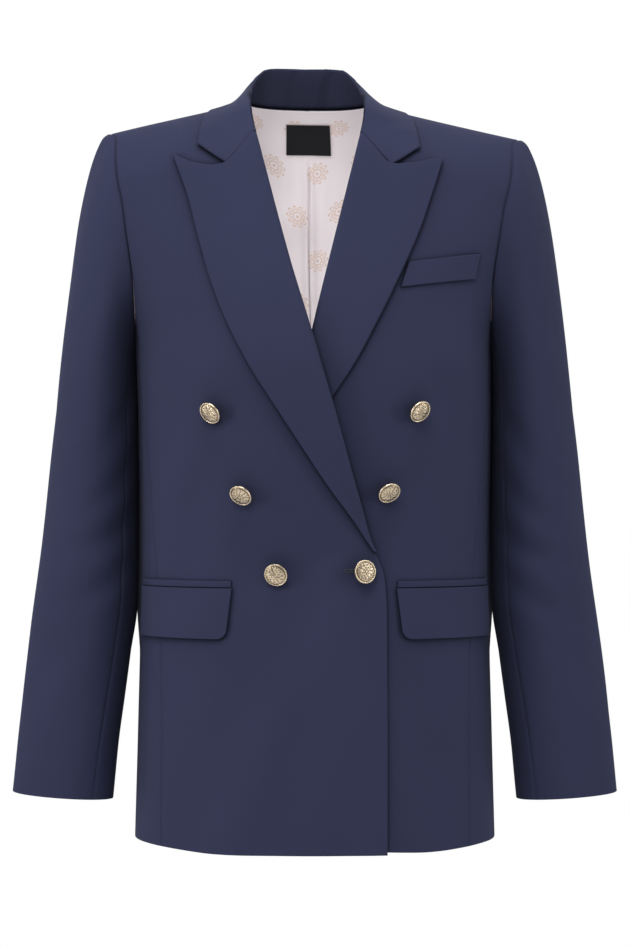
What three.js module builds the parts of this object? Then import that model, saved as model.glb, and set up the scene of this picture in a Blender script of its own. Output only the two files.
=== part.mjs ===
// A double breasted blazer in the form it takes when worn, open and hollow.
// Millimetres. +Z is up, the front faces -Y, the wearer's right is at -X.
// The origin is the middle of the neck, level with the highest points of the shoulder seams.

import * as THREE from 'three';

// Sizes of the whole garment
const HEM_Z = -714;
const NECK_SIDE_X = 64;
const SHOULDER_X = 197;
const SHOULDER_Z = -34;
const SHOULDER_SLOPE = -0.223;
const SHOULDER_LINE_AT_NECK = -3.7;
const NECK_DOME_HEIGHT = 30;
const NECK_DOME_HALF = 60;
const NECK_BLEND = 8;
const SIDE_POWER = 2.6;
const DEPTH_POWER = 2.2;
const FRONT_ROUND = 60;
const BACK_ROUND = 75;

// Cloth and the small spaces between pieces
const CLOTH = 2;
const TWO_LAYERS = 2.4;
const LINING = 1;
const SEAM_GAP = 0.3;
const GORGE_GAP = 0.6;
const LAY_GAP = 0.85;

// The armhole, an egg seen from the side
const ARMHOLE_BOTTOM_Z = -237;
const ARMHOLE_FRONT = 62;
const ARMHOLE_BACK = 68;
const FRONT_SEAM_TURN = 138;
const BACK_SEAM_TURN = 228;

// Half width and depths of the body at each height
const bodyRows = [
  { z: 40, half: 222, front: 52, back: 72 },
  { z: 0, half: 220, front: 60, back: 74 },
  { z: -30, half: 217.5, front: 73, back: 78 },
  { z: -60, half: 215, front: 88, back: 88 },
  { z: -122, half: 205.5, front: 106, back: 103 },
  { z: -178, half: 186, front: 120, back: 110 },
  { z: -225, half: 173.7, front: 127.5, back: 110 },
  { z: -260, half: 171.5, front: 130, back: 107 },
  { z: -330, half: 170, front: 127, back: 101 },
  { z: -420, half: 168.5, front: 120, back: 97 },
  { z: -520, half: 169, front: 122, back: 105 },
  { z: -600, half: 171, front: 126, back: 117 },
  { z: -714, half: 174, front: 130, back: 123 },
];

// Front edge: the neck, then the roll line down to the break, then the straight edge
const frontEdgeRows = [
  { z: 0, x: 64 },
  { z: -3, x: 59.5 },
  { z: -10, x: 56 },
  { z: -20, x: 53.6 },
  { z: -38, x: 49 },
  { z: -53.5, x: 44.9 },
  { z: -161, x: 17.5 },
  { z: -224, x: 0.4 },
  { z: -290, x: -16.5 },
  { z: -388, x: -42.5 },
  { z: -421, x: -51 },
  { z: -441, x: -59.4 },
  { z: -455, x: -64 },
  { z: -475, x: -66 },
  { z: -500, x: -66.8 },
  { z: -714, x: -66.8 },
];

// How far the front that laps over stands off, and up to where it does so fully
const lapRows = [
  { z: -60, lift: 0, full: 20 },
  { z: -190, lift: 6.4, full: 25 },
  { z: -320, lift: 6.4, full: 30 },
  { z: -440, lift: 2.9, full: 68 },
  { z: -714, lift: 2.9, full: 68 },
];
const LAP_END_X = 118;

// Seams between front and side piece and between side piece and back, by height
const seamRows = [
  { z: -205, front: 168, back: 166.5 },
  { z: -330, front: 160, back: 160 },
  { z: -520, front: 146, back: 152 },
  { z: -714, front: 145, back: 148 },
];

// Lapels: the height on the roll line and the point on the outer edge of each side
const lapelRows = [
  { rollZ: -38, overX: 129, overZ: -57, underX: 125, underZ: -61 },
  { rollZ: -80, overX: 114, overZ: -100, underX: 113, underZ: -100 },
  { rollZ: -120, overX: 104.6, overZ: -135, underX: 101, underZ: -135 },
  { rollZ: -160, overX: 92.7, overZ: -177, underX: 82, underZ: -177 },
  { rollZ: -200, overX: 78.7, overZ: -216, underX: 62, underZ: -216 },
  { rollZ: -240, overX: 59.8, overZ: -256, underX: 39.4, underZ: -256 },
  { rollZ: -280, overX: 36.4, overZ: -296, underX: 11.5, underZ: -296 },
  { rollZ: -320, overX: 11, overZ: -336, underX: -15, underZ: -336 },
  { rollZ: -360, overX: -15, overZ: -375, underX: -40, underZ: -375 },
  { rollZ: -395, overX: -36, overZ: -404, underX: -52, underZ: -400 },
  { rollZ: -420, overX: -46.3, overZ: -420, underX: -56, underZ: -418 },
  { rollZ: -434, overX: -53.6, overZ: -432, underX: -60, underZ: -430 },
];
const NOTCH = { x: 76, z: -65 };
const COLLAR_TIP = { x: 102.4, z: -49 };
const UNDER_LAPEL_TUCK = 22;
const UNDER_LAPEL_END_Z = -310;
const NOTCH_BEND_REACH = 70;

// Collar from the middle of the back to the gorge: neck seam, fold and outer edge
const collarRows = [
  { seamX: 0, seamZ: 0, foldX: 0, foldY: 63, foldZ: 40, edgeX: 0, edgeY: 71, edgeZ: -15 },
  { seamX: 20, seamZ: 0, foldX: 20, foldY: 61, foldZ: 40, edgeX: 26, edgeY: 69, edgeZ: -18 },
  { seamX: 41, seamZ: 0, foldX: 36, foldY: 53, foldZ: 39, edgeX: 52, edgeY: 60, edgeZ: -22 },
  { seamX: 54, seamZ: 0, foldX: 45.5, foldY: 37, foldZ: 35, edgeX: 76, edgeY: 44, edgeZ: -22 },
  { seamX: 61, seamZ: 0, foldX: 49.5, foldY: 18, foldZ: 29.5, edgeX: 90, edgeY: 23, edgeZ: -14 },
  { seamX: 64, seamZ: 0, foldX: 51, foldY: 0, foldZ: 22.5, edgeX: 95, edgeY: 0, edgeZ: -9 },
  { seamX: 59, seamZ: -3, foldX: 52.5, foldY: -20, foldZ: 12.5, edgeX: 98, edgeY: -20, edgeZ: -15 },
  { seamX: 56, seamZ: -10, foldX: 53.4, foldY: -38, foldZ: 0, edgeX: 100, edgeY: -38, edgeZ: -22 },
  { seamX: 53.6, seamZ: -20, foldX: 53.4, foldY: -55, foldZ: -12.5, edgeX: 101.5, edgeY: -54, edgeZ: -33 },
  { seamX: 51, seamZ: -30, foldX: 51.6, foldY: -68, foldZ: -26, edgeX: 102.2, edgeY: -62, edgeZ: -43 },
];
const GORGE_START = { x: 48.8, z: -38 };

// Shares of the way from neck seam to fold, and from fold to outer edge
const STAND_STEPS = [0, 0.45, 0.85];
const FALL_STEPS = [0.1, 0.3, 0.5, 0.75, 1];
const COLLAR_STATIONS = 18;
const COLLAR_SIDE_ORDER = 5;
const FOLD_ROUND = 3.2;
const COLLAR_AWAY = LAY_GAP + TWO_LAYERS;

// Sleeve rings: outer and inner side in x, half depth and middle in y
const sleeveRows = [
  { z: -300, out: 250, in: 172.5, deep: 60, y: 2 },
  { z: -345, out: 255.5, in: 172.5, deep: 57.5, y: 1 },
  { z: -390, out: 260.4, in: 172.6, deep: 54.5, y: 0 },
  { z: -435, out: 265.4, in: 172.8, deep: 51, y: -2 },
  { z: -480, out: 270.6, in: 173, deep: 47.5, y: -5.5 },
  { z: -525, out: 275.5, in: 177.2, deep: 44, y: -10.5 },
  { z: -570, out: 280.8, in: 182.8, deep: 41.5, y: -15.5 },
  { z: -615, out: 285.6, in: 188.6, deep: 39.5, y: -20 },
  { z: -668.5, out: 290.6, in: 193.8, deep: 38, y: -24 },
];
const CUFF_SLANT = 3.5;
const FOREARM_TURN_TOP = 146;
const FOREARM_TURN_CUFF = 130;
const HINDARM_TURN_TOP = 226;
const HINDARM_TURN_CUFF = 236;
const CAP_STEPS = [0, 0.1, 0.22, 0.36, 0.52, 0.68, 0.84, 1];

// Pockets
const FLAP = { topZ: -467, bottomZ: -514.5, frontX: 76, length: 120, corner: 12 };
const JET = { topZ: -460, bottomZ: -466.5, frontX: 77, length: 118 };
const WELT = { frontX: 92.5, frontZ: -161.2, backX: 158.7, backZ: -150.8, height: 24.6, frontLean: -8.5, backLean: -4.8 };

// Buttons: place, how far the face droops and to which side
const buttonRows = [
  { x: -92, z: -300, droop: 29, turn: -12 },
  { x: 93, z: -298, droop: 29, turn: 12 },
  { x: -64.5, z: -375, droop: 29, turn: -14 },
  { x: 66, z: -373, droop: 29, turn: 14 },
  { x: -34, z: -451, droop: 16, turn: 25 },
  { x: 42.5, z: -451.5, droop: 8, turn: 70 },
];
const BUTTON_R = 11;
const SHANK_LENGTH = 7;
const SHANK_R = 2.2;
const BUTTON_SIDES = 14;

// Neck label on the back lining
const LABEL = { width: 45, topZ: -12, bottomZ: -41, gap: 2.1 };

// How the garment sits: the neck lies a little to the wearer's right, one shoulder lower
const settleRows = [
  { z: 40, x: -10 },
  { z: 20, x: -9.5 },
  { z: -8, x: -7 },
  { z: -54, x: -6 },
  { z: -161, x: -5 },
  { z: -224, x: -3 },
  { z: -300, x: 0 },
];
const SHOULDER_DROP = 3;
const SHOULDER_DROP_END_Z = -420;

const NAVY = new THREE.MeshStandardMaterial({ color: 0x343750, roughness: 0.85, metalness: 0 });
const LINING_PALE = new THREE.MeshStandardMaterial({ color: 0xd9ccca, roughness: 0.5, metalness: 0 });
const LABEL_DARK = new THREE.MeshStandardMaterial({ color: 0x17181b, roughness: 0.7, metalness: 0 });
const BRASS = new THREE.MeshStandardMaterial({ color: 0xb9a27a, roughness: 0.35, metalness: 1 });

const lerp = THREE.MathUtils.lerp;
const radians = THREE.MathUtils.degToRad;
const smooth = (t) => THREE.MathUtils.smoothstep(t, 0, 1);
const vector = (x, y, z) => new THREE.Vector3(x, y, z);
const steps = (count) => Array.from({ length: count + 1 }, (_, i) => i / count);

// A smooth curve through one column of a table, read against another column
function column(rows, key, name) {
  const sorted = [...rows].sort((a, b) => a[key] - b[key]);
  const at = sorted.map((row) => row[key]);
  const value = sorted.map((row) => row[name]);
  const last = at.length - 1;
  const slope = at.map((_, i) => {
    const low = Math.max(i - 1, 0);
    const high = Math.min(i + 1, last);
    return (value[high] - value[low]) / (at[high] - at[low]);
  });
  return (v) => {
    if (v <= at[0]) return value[0];
    if (v >= at[last]) return value[last];
    const i = at.findIndex((a) => a >= v);
    const span = at[i] - at[i - 1];
    const t = (v - at[i - 1]) / span;
    const rise = value[i] - value[i - 1];
    const start = slope[i - 1] * span - rise;
    const end = rise - slope[i] * span;
    return value[i - 1] + rise * t + t * (1 - t) * (start * (1 - t) + end * t);
  };
}

const bodyHalf = column(bodyRows, 'z', 'half');
const bodyFront = column(bodyRows, 'z', 'front');
const bodyBack = column(bodyRows, 'z', 'back');
const frontEdgeX = column(frontEdgeRows, 'z', 'x');
const lapLift = column(lapRows, 'z', 'lift');
const lapFull = column(lapRows, 'z', 'full');
const frontSeamX = column(seamRows, 'z', 'front');
const backSeamX = column(seamRows, 'z', 'back');
const settleX = column(settleRows, 'z', 'x');

// Height of the shoulder ridge, which rises into a low dome across the neck
function ridgeZ(x) {
  const line = SHOULDER_LINE_AT_NECK + SHOULDER_SLOPE * (Math.abs(x) - 62);
  const dome = NECK_DOME_HEIGHT * (1 - (x / NECK_DOME_HALF) ** 2);
  return (line + dome + Math.hypot(line - dome, NECK_BLEND)) / 2;
}

function depthAt(z, face) {
  return face < 0 ? bodyFront(z) : bodyBack(z);
}

// How deep the body is at x, as a share of its depth
function depthShare(x, z) {
  const share = Math.min(Math.abs(x) / bodyHalf(z), 1);
  return (1 - share ** SIDE_POWER) ** (1 / DEPTH_POWER);
}

// A point on the body's outer face; face is -1 for the front and 1 for the back
function bodyPoint(x, z, face) {
  const round = face < 0 ? FRONT_ROUND : BACK_ROUND;
  const fall = THREE.MathUtils.clamp((ridgeZ(x) - z) / round, 0, 1);
  const y = face * depthAt(z, face) * depthShare(x, z) * Math.sqrt(1 - (1 - fall) ** 2);
  return vector(x, y, z);
}

// Zero on the body's outer face, negative inside it
function bodyField(x, y, z) {
  const face = y < 0 ? -1 : 1;
  const round = face < 0 ? FRONT_ROUND : BACK_ROUND;
  const fall = (ridgeZ(x) - z) / round;
  const deep = Math.abs(y) / depthAt(z, face);
  if (fall >= 1) return deep ** DEPTH_POWER + (Math.abs(x) / bodyHalf(z)) ** SIDE_POWER - 1;
  const share = Math.max(depthShare(x, z), 0.05);
  return (deep / share) ** 2 + (1 - fall) ** 2 - 1;
}

function bodySlope(p) {
  const d = 0.02;
  const x = bodyField(p.x + d, p.y, p.z) - bodyField(p.x - d, p.y, p.z);
  const z = bodyField(p.x, p.y, p.z + d) - bodyField(p.x, p.y, p.z - d);
  const y = Math.abs(p.y) < 0.05
    ? 0
    : bodyField(p.x, p.y + d, p.z) - bodyField(p.x, p.y - d, p.z);
  return vector(x, y, z).divideScalar(2 * d);
}

const bodyNormal = (p) => bodySlope(p).normalize();

// Moves a point along the slope until it stands this far off the body, or only outwards
function standOff(p, distance, onlyOut) {
  const moved = p.clone();
  for (let i = 0; i < 6; i += 1) {
    const slope = bodySlope(moved);
    const away = bodyField(moved.x, moved.y, moved.z) / slope.length();
    if (onlyOut && away >= distance) break;
    moved.addScaledVector(slope.normalize(), (distance - away) * 0.8);
  }
  return moved;
}

// A point of the body given by its turn about the upright axis, from the side at 0
function aroundPoint(turn, z) {
  const face = turn < 0 ? -1 : 1;
  const x = bodyHalf(z) * Math.abs(Math.cos(turn)) ** (2 / SIDE_POWER);
  const y = face * depthAt(z, face) * Math.abs(Math.sin(turn)) ** (2 / DEPTH_POWER);
  return vector(x, y, z);
}

function turnAt(x, z, face) {
  return face * Math.acos(Math.min((x / bodyHalf(z)) ** (SIDE_POWER / 2), 1));
}

// Armhole edge at a turn in degrees: 0 at the shoulder, 90 in front, 180 below, 270 behind
function armholePoint(degrees) {
  const turn = radians(degrees);
  const middle = (SHOULDER_Z + ARMHOLE_BOTTOM_Z) / 2;
  const z = middle + (SHOULDER_Z - middle) * Math.cos(turn);
  const wide = degrees <= 180 ? ARMHOLE_FRONT : ARMHOLE_BACK;
  const y = -wide * Math.sin(turn);
  const face = degrees <= 180 ? -1 : 1;
  let low = 100;
  let high = 215;
  for (let i = 0; i < 40; i += 1) {
    const x = (low + high) / 2;
    if (Math.abs(bodyPoint(x, z, face).y) > Math.abs(y)) low = x;
    else high = x;
  }
  return Math.abs(y) < 0.01 && z > -100 ? vector(SHOULDER_X, 0, ridgeZ(SHOULDER_X)) : vector(low, y, z);
}

const between = (from, to, count) => steps(count).map((t) => lerp(from, to, t));
const FRONT_TURNS = between(0, FRONT_SEAM_TURN, 11);
const SIDE_TURNS = between(FRONT_SEAM_TURN, BACK_SEAM_TURN, 6);
const BACK_TURNS = between(360, BACK_SEAM_TURN, 11);
const LOWER_STEPS = steps(12).slice(1);
const BACK_COLUMNS = 9;

const withNormal = (p) => ({ at: p, out: bodyNormal(p) });

// Points of one ruled row of a front or back piece, kept level with the ridge near it
function bodyRow(face, start, end, count) {
  const ridgeShare = THREE.MathUtils.clamp(1 - (ridgeZ(end.x) - end.z) / FRONT_ROUND, 0, 1);
  return steps(count).map((t) => {
    const x = lerp(start.x, end.x, t);
    const level = lerp(ridgeZ(start.x), ridgeZ(end.x), t);
    const z = lerp(start.z, end.z, t) + (ridgeZ(x) - level) * ridgeShare;
    return withNormal(bodyPoint(x, z, face));
  });
}

// Draws each border of a grid in by half a seam gap
function trimmed(grid, gap = SEAM_GAP) {
  const pull = (from, to) => {
    const step = to.at.clone().sub(from.at).setLength(gap / 2);
    return { ...from, at: from.at.clone().add(step) };
  };
  const last = grid.length - 1;
  const rows = grid.map((row, i) => {
    if (i === 0) return row.map((node, j) => pull(node, grid[1][j]));
    if (i === last) return row.map((node, j) => pull(node, grid[last - 1][j]));
    return row;
  });
  return rows.map((row) => {
    const end = row.length - 1;
    return row.map((node, j) => {
      if (j === 0) return pull(node, row[1]);
      if (j === end) return pull(node, row[end - 1]);
      return node;
    });
  });
}

// The garment's lean on whoever wears it, given to every point last
function settled(p) {
  const toShoulder = (Math.min(Math.abs(p.x), SHOULDER_X) / SHOULDER_X) ** 4;
  const drop = smooth((p.z - SHOULDER_DROP_END_Z) / (0 - SHOULDER_DROP_END_Z));
  const across = THREE.MathUtils.clamp(p.x / SHOULDER_X, -1, 1);
  const x = p.x + settleX(p.z) * (1 - toShoulder);
  return vector(x, p.y, p.z - SHOULDER_DROP * across * drop);
}

const group = new THREE.Group();

// Adds a closed mesh, with its faces turned outwards
function addMesh(name, material, points, triangles) {
  const placed = points.map(settled);
  let volume = 0;
  for (const [a, b, c] of triangles) {
    volume += placed[a].dot(vector(0, 0, 0).crossVectors(placed[b], placed[c]));
  }
  const order = volume > 0 ? triangles : triangles.map(([a, b, c]) => [a, c, b]);
  const geometry = new THREE.BufferGeometry();
  const numbers = placed.flatMap((p) => p.toArray());
  geometry.setAttribute('position', new THREE.Float32BufferAttribute(numbers, 3));
  geometry.setIndex(order.flat());
  geometry.computeVertexNormals();
  const mesh = new THREE.Mesh(geometry, material);
  mesh.name = name;
  group.add(mesh);
}

// A wall of cloth over a grid of points, from one distance off the points to another
function addWall(name, material, grid, from, to, side = 1) {
  const rows = grid.length;
  const columns = grid[0].length;
  const face = (distance) => grid.flatMap((row) => row.map((node) => {
    const p = node.at.clone().addScaledVector(node.out, distance + (node.lift ?? 0));
    return vector(p.x * side, p.y, p.z);
  }));
  const points = [...face(to), ...face(from)];
  const below = rows * columns;
  const index = (i, j) => i * columns + j;
  const triangles = [];
  for (let i = 0; i + 1 < rows; i += 1) {
    for (let j = 0; j + 1 < columns; j += 1) {
      const [a, b, c, d] = [index(i, j), index(i, j + 1), index(i + 1, j + 1), index(i + 1, j)];
      triangles.push([a, b, c], [a, c, d]);
      triangles.push([a + below, c + below, b + below], [a + below, d + below, c + below]);
    }
  }
  const border = [];
  for (let j = 0; j + 1 < columns; j += 1) border.push(index(0, j));
  for (let i = 0; i + 1 < rows; i += 1) border.push(index(i, columns - 1));
  for (let j = columns - 1; j > 0; j -= 1) border.push(index(rows - 1, j));
  for (let i = rows - 1; i > 0; i -= 1) border.push(index(i, 0));
  border.forEach((a, k) => {
    const b = border[(k + 1) % border.length];
    triangles.push([a, a + below, b + below], [a, b + below, b]);
  });
  addMesh(name, material, points, triangles);
}

// How far the over front stands off the body, x taken towards its own side
function overLift(x, z) {
  const reach = (LAP_END_X - x) / (LAP_END_X - lapFull(z));
  return lapLift(z) * smooth(reach);
}

const lifted = (node, over) => ({ ...node, lift: over ? overLift(node.at.x, node.at.z) : 0 });

// Front piece from the shoulder seam to the hem
function addFront(name, side, over) {
  const armhole = FRONT_TURNS.map((turn) => {
    const end = armholePoint(turn);
    const share = (SHOULDER_Z - end.z) / (SHOULDER_Z - armholePoint(FRONT_SEAM_TURN).z);
    const z = armholePoint(FRONT_SEAM_TURN).z * share;
    const start = turn === 0
      ? { x: NECK_SIDE_X, z: ridgeZ(NECK_SIDE_X) }
      : { x: frontEdgeX(z), z };
    return { start, end };
  });
  const seamTop = armholePoint(FRONT_SEAM_TURN).z;
  const lower = LOWER_STEPS.map((t) => {
    const z = lerp(seamTop, HEM_Z, t);
    return { start: { x: frontEdgeX(z), z }, end: { x: seamX(t, -1), z } };
  });
  const grid = [...armhole, ...lower].map(({ start, end }) => bodyRow(-1, start, end, 13));
  const cut = trimmed(grid).map((row) => row.map((node) => lifted(node, over)));
  addWall(name, NAVY, cut, -CLOTH, 0, side);
}

// Place of a lengthwise seam at a share of the way from the armhole to the hem
function seamX(t, face) {
  const top = armholePoint(face < 0 ? FRONT_SEAM_TURN : BACK_SEAM_TURN);
  const z = lerp(top.z, HEM_Z, t);
  const path = face < 0 ? frontSeamX : backSeamX;
  return path(z) + (top.x - path(top.z)) * (1 - smooth(t * 2));
}

// Side piece under the arm
function addSide(name, side) {
  const top = SIDE_TURNS.map(armholePoint);
  const turns = top.map((p) => turnAt(p.x, p.z, p.y < 0 ? -1 : 1));
  const first = turns[0];
  const last = turns.at(-1);
  const grid = [0, ...LOWER_STEPS].map((t) => top.map((p, i) => {
    if (t === 0) return withNormal(p);
    const z = lerp(p.z, HEM_Z, t);
    const from = turnAt(seamX(t, -1), lerp(top[0].z, HEM_Z, t), -1);
    const to = turnAt(seamX(t, 1), lerp(top.at(-1).z, HEM_Z, t), 1);
    return withNormal(aroundPoint(lerp(from, to, (turns[i] - first) / (last - first)), z));
  }));
  addWall(name, NAVY, trimmed(grid), -CLOTH, 0, side);
}

// Inner end of each back row: round the neck first, then down the middle seam
function backStart(i, seamTop) {
  const neckRows = 6;
  const zDrop = (i - neckRows) / (BACK_TURNS.length - 1 - neckRows);
  if (i <= neckRows) return { x: NECK_SIDE_X * Math.cos(radians(90 * (i / neckRows))), z: 0 };
  return { x: 0, z: seamTop * zDrop };
}

function backGrid(columns) {
  const seamTop = armholePoint(BACK_SEAM_TURN).z;
  const upper = BACK_TURNS.map((turn, i) => ({
    start: i === 0 ? { x: NECK_SIDE_X, z: ridgeZ(NECK_SIDE_X) } : backStart(i, seamTop),
    end: armholePoint(turn),
  }));
  const lower = LOWER_STEPS.map((t) => ({
    start: { x: 0, z: lerp(seamTop, HEM_Z, t) },
    end: { x: seamX(t, 1), z: lerp(seamTop, HEM_Z, t) },
  }));
  return [...upper, ...lower].map(({ start, end }) => bodyRow(1, start, end, columns));
}

function addBack(name, side) {
  addWall(name, NAVY, trimmed(backGrid(BACK_COLUMNS)), -CLOTH, 0, side);
}

// Back lining, which hangs just inside the back piece
function addLining(name, side) {
  const away = CLOTH + LAY_GAP;
  const inner = backGrid(BACK_COLUMNS).slice(3, -1).map((row) => row.slice(0, BACK_COLUMNS - 1));
  addWall(name, LINING_PALE, trimmed(inner), -away - LINING, -away, side);
}

// How far the seam from gorge to notch and peak strays from a straight line, at a share of it
function notchBend(t, peak) {
  const turn = t < 0.5
    ? { x: lerp(GORGE_START.x, NOTCH.x, t * 2), z: lerp(GORGE_START.z, NOTCH.z, t * 2) }
    : { x: lerp(NOTCH.x, peak.x, t * 2 - 1), z: lerp(NOTCH.z, peak.z, t * 2 - 1) };
  return {
    x: turn.x - lerp(GORGE_START.x, peak.x, t),
    z: turn.z - lerp(GORGE_START.z, peak.z, t),
  };
}

// Lapel, laid on its front from the roll line outwards
function addLapel(name, side, over) {
  const edgeX = column(lapelRows, 'rollZ', over ? 'overX' : 'underX');
  const edgeZ = column(lapelRows, 'rollZ', over ? 'overZ' : 'underZ');
  const firstRoll = GORGE_START.z;
  const lastRoll = over ? lapelRows.at(-1).rollZ : UNDER_LAPEL_END_Z;
  const peak = { x: edgeX(firstRoll), z: edgeZ(firstRoll) };
  const grid = between(firstRoll, lastRoll, 20).map((rollZ) => {
    const roll = { x: rollZ === firstRoll ? GORGE_START.x : frontEdgeX(rollZ), z: rollZ };
    const edge = { x: edgeX(rollZ), z: edgeZ(rollZ) };
    const tuck = over ? -Infinity : -frontEdgeX(rollZ) - UNDER_LAPEL_TUCK;
    const bend = Math.max(1 - (firstRoll - rollZ) / NOTCH_BEND_REACH, 0);
    return [0, ...FALL_STEPS].map((t) => {
      const straightX = lerp(Math.max(roll.x, tuck), edge.x, t);
      const straightZ = lerp(roll.z, edge.z, (straightX - roll.x) / (edge.x - roll.x));
      const stray = notchBend(t, peak);
      const node = bodyPoint(straightX + stray.x * bend, straightZ + stray.z * bend, -1);
      return lifted(withNormal(node), over);
    });
  });
  addWall(name, NAVY, trimmed(grid, GORGE_GAP), LAY_GAP, LAY_GAP + TWO_LAYERS, side);
}

// One line across the collar: up the stand, over the fold and down the fall
function collarLine(seam, fold, edge) {
  const out = vector(edge.x - seam.x, edge.y - seam.y, 0).normalize();
  const stand = STAND_STEPS.map((t) => seam.clone().lerp(fold, t));
  const crown = fold.clone().addScaledVector(out, FOLD_ROUND * 0.5);
  crown.z += FOLD_ROUND * 0.25;
  const shoulder = fold.clone().addScaledVector(out, FOLD_ROUND * 1.6);
  const fall = FALL_STEPS.map((t) => standOff(shoulder.clone().lerp(edge, t), COLLAR_AWAY, t < 1));
  return [...stand, crown, ...fall];
}

function addCollar(name) {
  const numbered = collarRows.map((row, order) => ({ ...row, order }));
  const at = (name, order) => column(numbered, 'order', name)(order);
  const place = (end, order) => vector(...['X', 'Y', 'Z'].map((axis) => at(end + axis, order)));
  const seam = (order) => {
    const p = bodyPoint(at('seamX', order), at('seamZ', order), order < COLLAR_SIDE_ORDER ? 1 : -1);
    return p.addScaledVector(bodyNormal(p), LAY_GAP / 2).add(vector(0, 0, LAY_GAP / 2));
  };
  const half = between(0, collarRows.length - 1, COLLAR_STATIONS).map((order) => collarLine(
    seam(order),
    place('fold', order),
    place('edge', order),
  ));
  const end = collarEnd();
  const nearEnd = half.at(-1);
  for (const share of [0.35, 0.7]) {
    half.push(end.map((p, j) => standOff(nearEnd[j].clone().lerp(p, share), COLLAR_AWAY, true)));
  }
  half.push(end);
  const mirrored = half.slice(1).reverse().map((line) => line.map((p) => vector(-p.x, p.y, p.z)));
  const lines = [...mirrored, ...half];
  const grid = lines.map((line, i) => line.map((p, j) => {
    if (i === 0 || i === lines.length - 1) return withNormal(p);
    const along = lines[i + 1][j].clone().sub(lines[i - 1][j]);
    const across = line[Math.min(j + 1, line.length - 1)].clone().sub(line[Math.max(j - 1, 0)]);
    return { at: p, out: along.cross(across).normalize() };
  }));
  addWall(name, NAVY, trimmed(grid), -TWO_LAYERS, 0);
}

// The collar's front end follows the gorge seam to the notch, then its own edge to the tip
function collarEnd() {
  const path = [
    { t: 0, ...GORGE_START },
    { t: 0.5, ...NOTCH },
    { t: 1, ...COLLAR_TIP },
  ];
  const pathX = (t) => (t < 0.5 ? lerp(path[0].x, path[1].x, t * 2) : lerp(path[1].x, path[2].x, t * 2 - 1));
  const pathZ = (t) => (t < 0.5 ? lerp(path[0].z, path[1].z, t * 2) : lerp(path[1].z, path[2].z, t * 2 - 1));
  const shares = [-0.09, -0.06, -0.03, 0, ...FALL_STEPS];
  return shares.map((t) => {
    const p = bodyPoint(pathX(t), pathZ(Math.max(t, 0)), -1);
    return p.addScaledVector(bodyNormal(p), COLLAR_AWAY);
  });
}

const sleeve = Object.fromEntries(
  ['out', 'in', 'deep', 'y'].map((name) => [name, column(sleeveRows, 'z', name)]),
);
const RING_TOP_Z = sleeveRows[0].z;
const CUFF_Z = sleeveRows.at(-1).z;

function ringPoint(degrees, z) {
  const turn = radians(degrees);
  const middle = (sleeve.out(z) + sleeve.in(z)) / 2;
  const half = (sleeve.out(z) - sleeve.in(z)) / 2;
  const slant = CUFF_SLANT * ((RING_TOP_Z - z) / (RING_TOP_Z - CUFF_Z)) * Math.cos(turn);
  return vector(middle + half * Math.cos(turn), sleeve.y(z) - sleeve.deep(z) * Math.sin(turn), z + slant);
}

// Ring turn of a sleeve line that starts at this turn of the armhole
function ringTurn(armTurn, z) {
  const down = (RING_TOP_Z - z) / (RING_TOP_Z - CUFF_Z);
  const fore = lerp(FOREARM_TURN_TOP, FOREARM_TURN_CUFF, down);
  const hind = lerp(HINDARM_TURN_TOP, HINDARM_TURN_CUFF, down);
  if (armTurn <= FRONT_SEAM_TURN) return armTurn * (fore / FRONT_SEAM_TURN);
  if (armTurn >= BACK_SEAM_TURN) {
    return 360 - (360 - armTurn) * ((360 - hind) / (360 - BACK_SEAM_TURN));
  }
  return lerp(fore, hind, (armTurn - FRONT_SEAM_TURN) / (BACK_SEAM_TURN - FRONT_SEAM_TURN));
}

// The sleeve head: one line from the armhole to the first ring
function capLine(armTurn) {
  const start = armholePoint(armTurn).add(vector(SEAM_GAP + 0.1, 0, 0));
  const end = ringPoint(ringTurn(armTurn, RING_TOP_Z), RING_TOP_Z);
  const high = (1 + Math.cos(radians(armTurn))) / 2;
  const drop = (start.z - end.z) * 0.77;
  const leave = start.clone().add(vector(17 * high, 0, -14 * (1 - high)));
  const arrive = end.clone().add(vector(-0.088 * drop * high, 0, drop));
  const line = new THREE.CubicBezierCurve3(start, leave, arrive, end);
  return CAP_STEPS.map((t) => line.getPoint(t));
}

// The whole sleeve, round from the hindarm seam over the top and back under the arm
function sleeveGrid() {
  const turns = [...BACK_TURNS.slice().reverse(), ...FRONT_TURNS.slice(1), ...SIDE_TURNS.slice(1)];
  const lines = turns.map((turn) => [
    ...capLine(turn),
    ...sleeveRows.slice(1).map((row) => ringPoint(ringTurn(turn, row.z), row.z)),
  ]);
  const round = lines.length - 1;
  return lines[0].map((_, i) => lines.map((line, j) => {
    const along = line[Math.min(i + 1, line.length - 1)].clone().sub(line[Math.max(i - 1, 0)]);
    const next = lines[(j + 1) % round][i];
    const across = next.clone().sub(lines[(j - 1 + round) % round][i]);
    return { at: line[i], out: across.cross(along).normalize() };
  }));
}

function addSleeve(name, side) {
  const grid = sleeveGrid();
  const forearm = BACK_TURNS.length + FRONT_TURNS.length - 2;
  const top = grid.map((row) => row.slice(0, forearm + 1));
  const under = grid.map((row) => row.slice(forearm));
  addWall(`sleeve_top_${name}`, NAVY, trimmed(top), -CLOTH, 0, side);
  addWall(`sleeve_under_${name}`, NAVY, trimmed(under), -CLOTH, 0, side);
}

// Points across the front and side pieces at one height, by their length round the body
function aroundBody(z, fromX, length, count) {
  const fine = 200;
  const from = turnAt(fromX, z, -1);
  const path = steps(fine).map((t) => aroundPoint(lerp(from, 0.6, t), z));
  const lengths = [0];
  for (let i = 1; i < path.length; i += 1) {
    lengths.push(lengths[i - 1] + path[i].distanceTo(path[i - 1]));
  }
  return steps(count).map((t) => path[lengths.findIndex((value) => value >= t * length)]);
}

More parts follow.
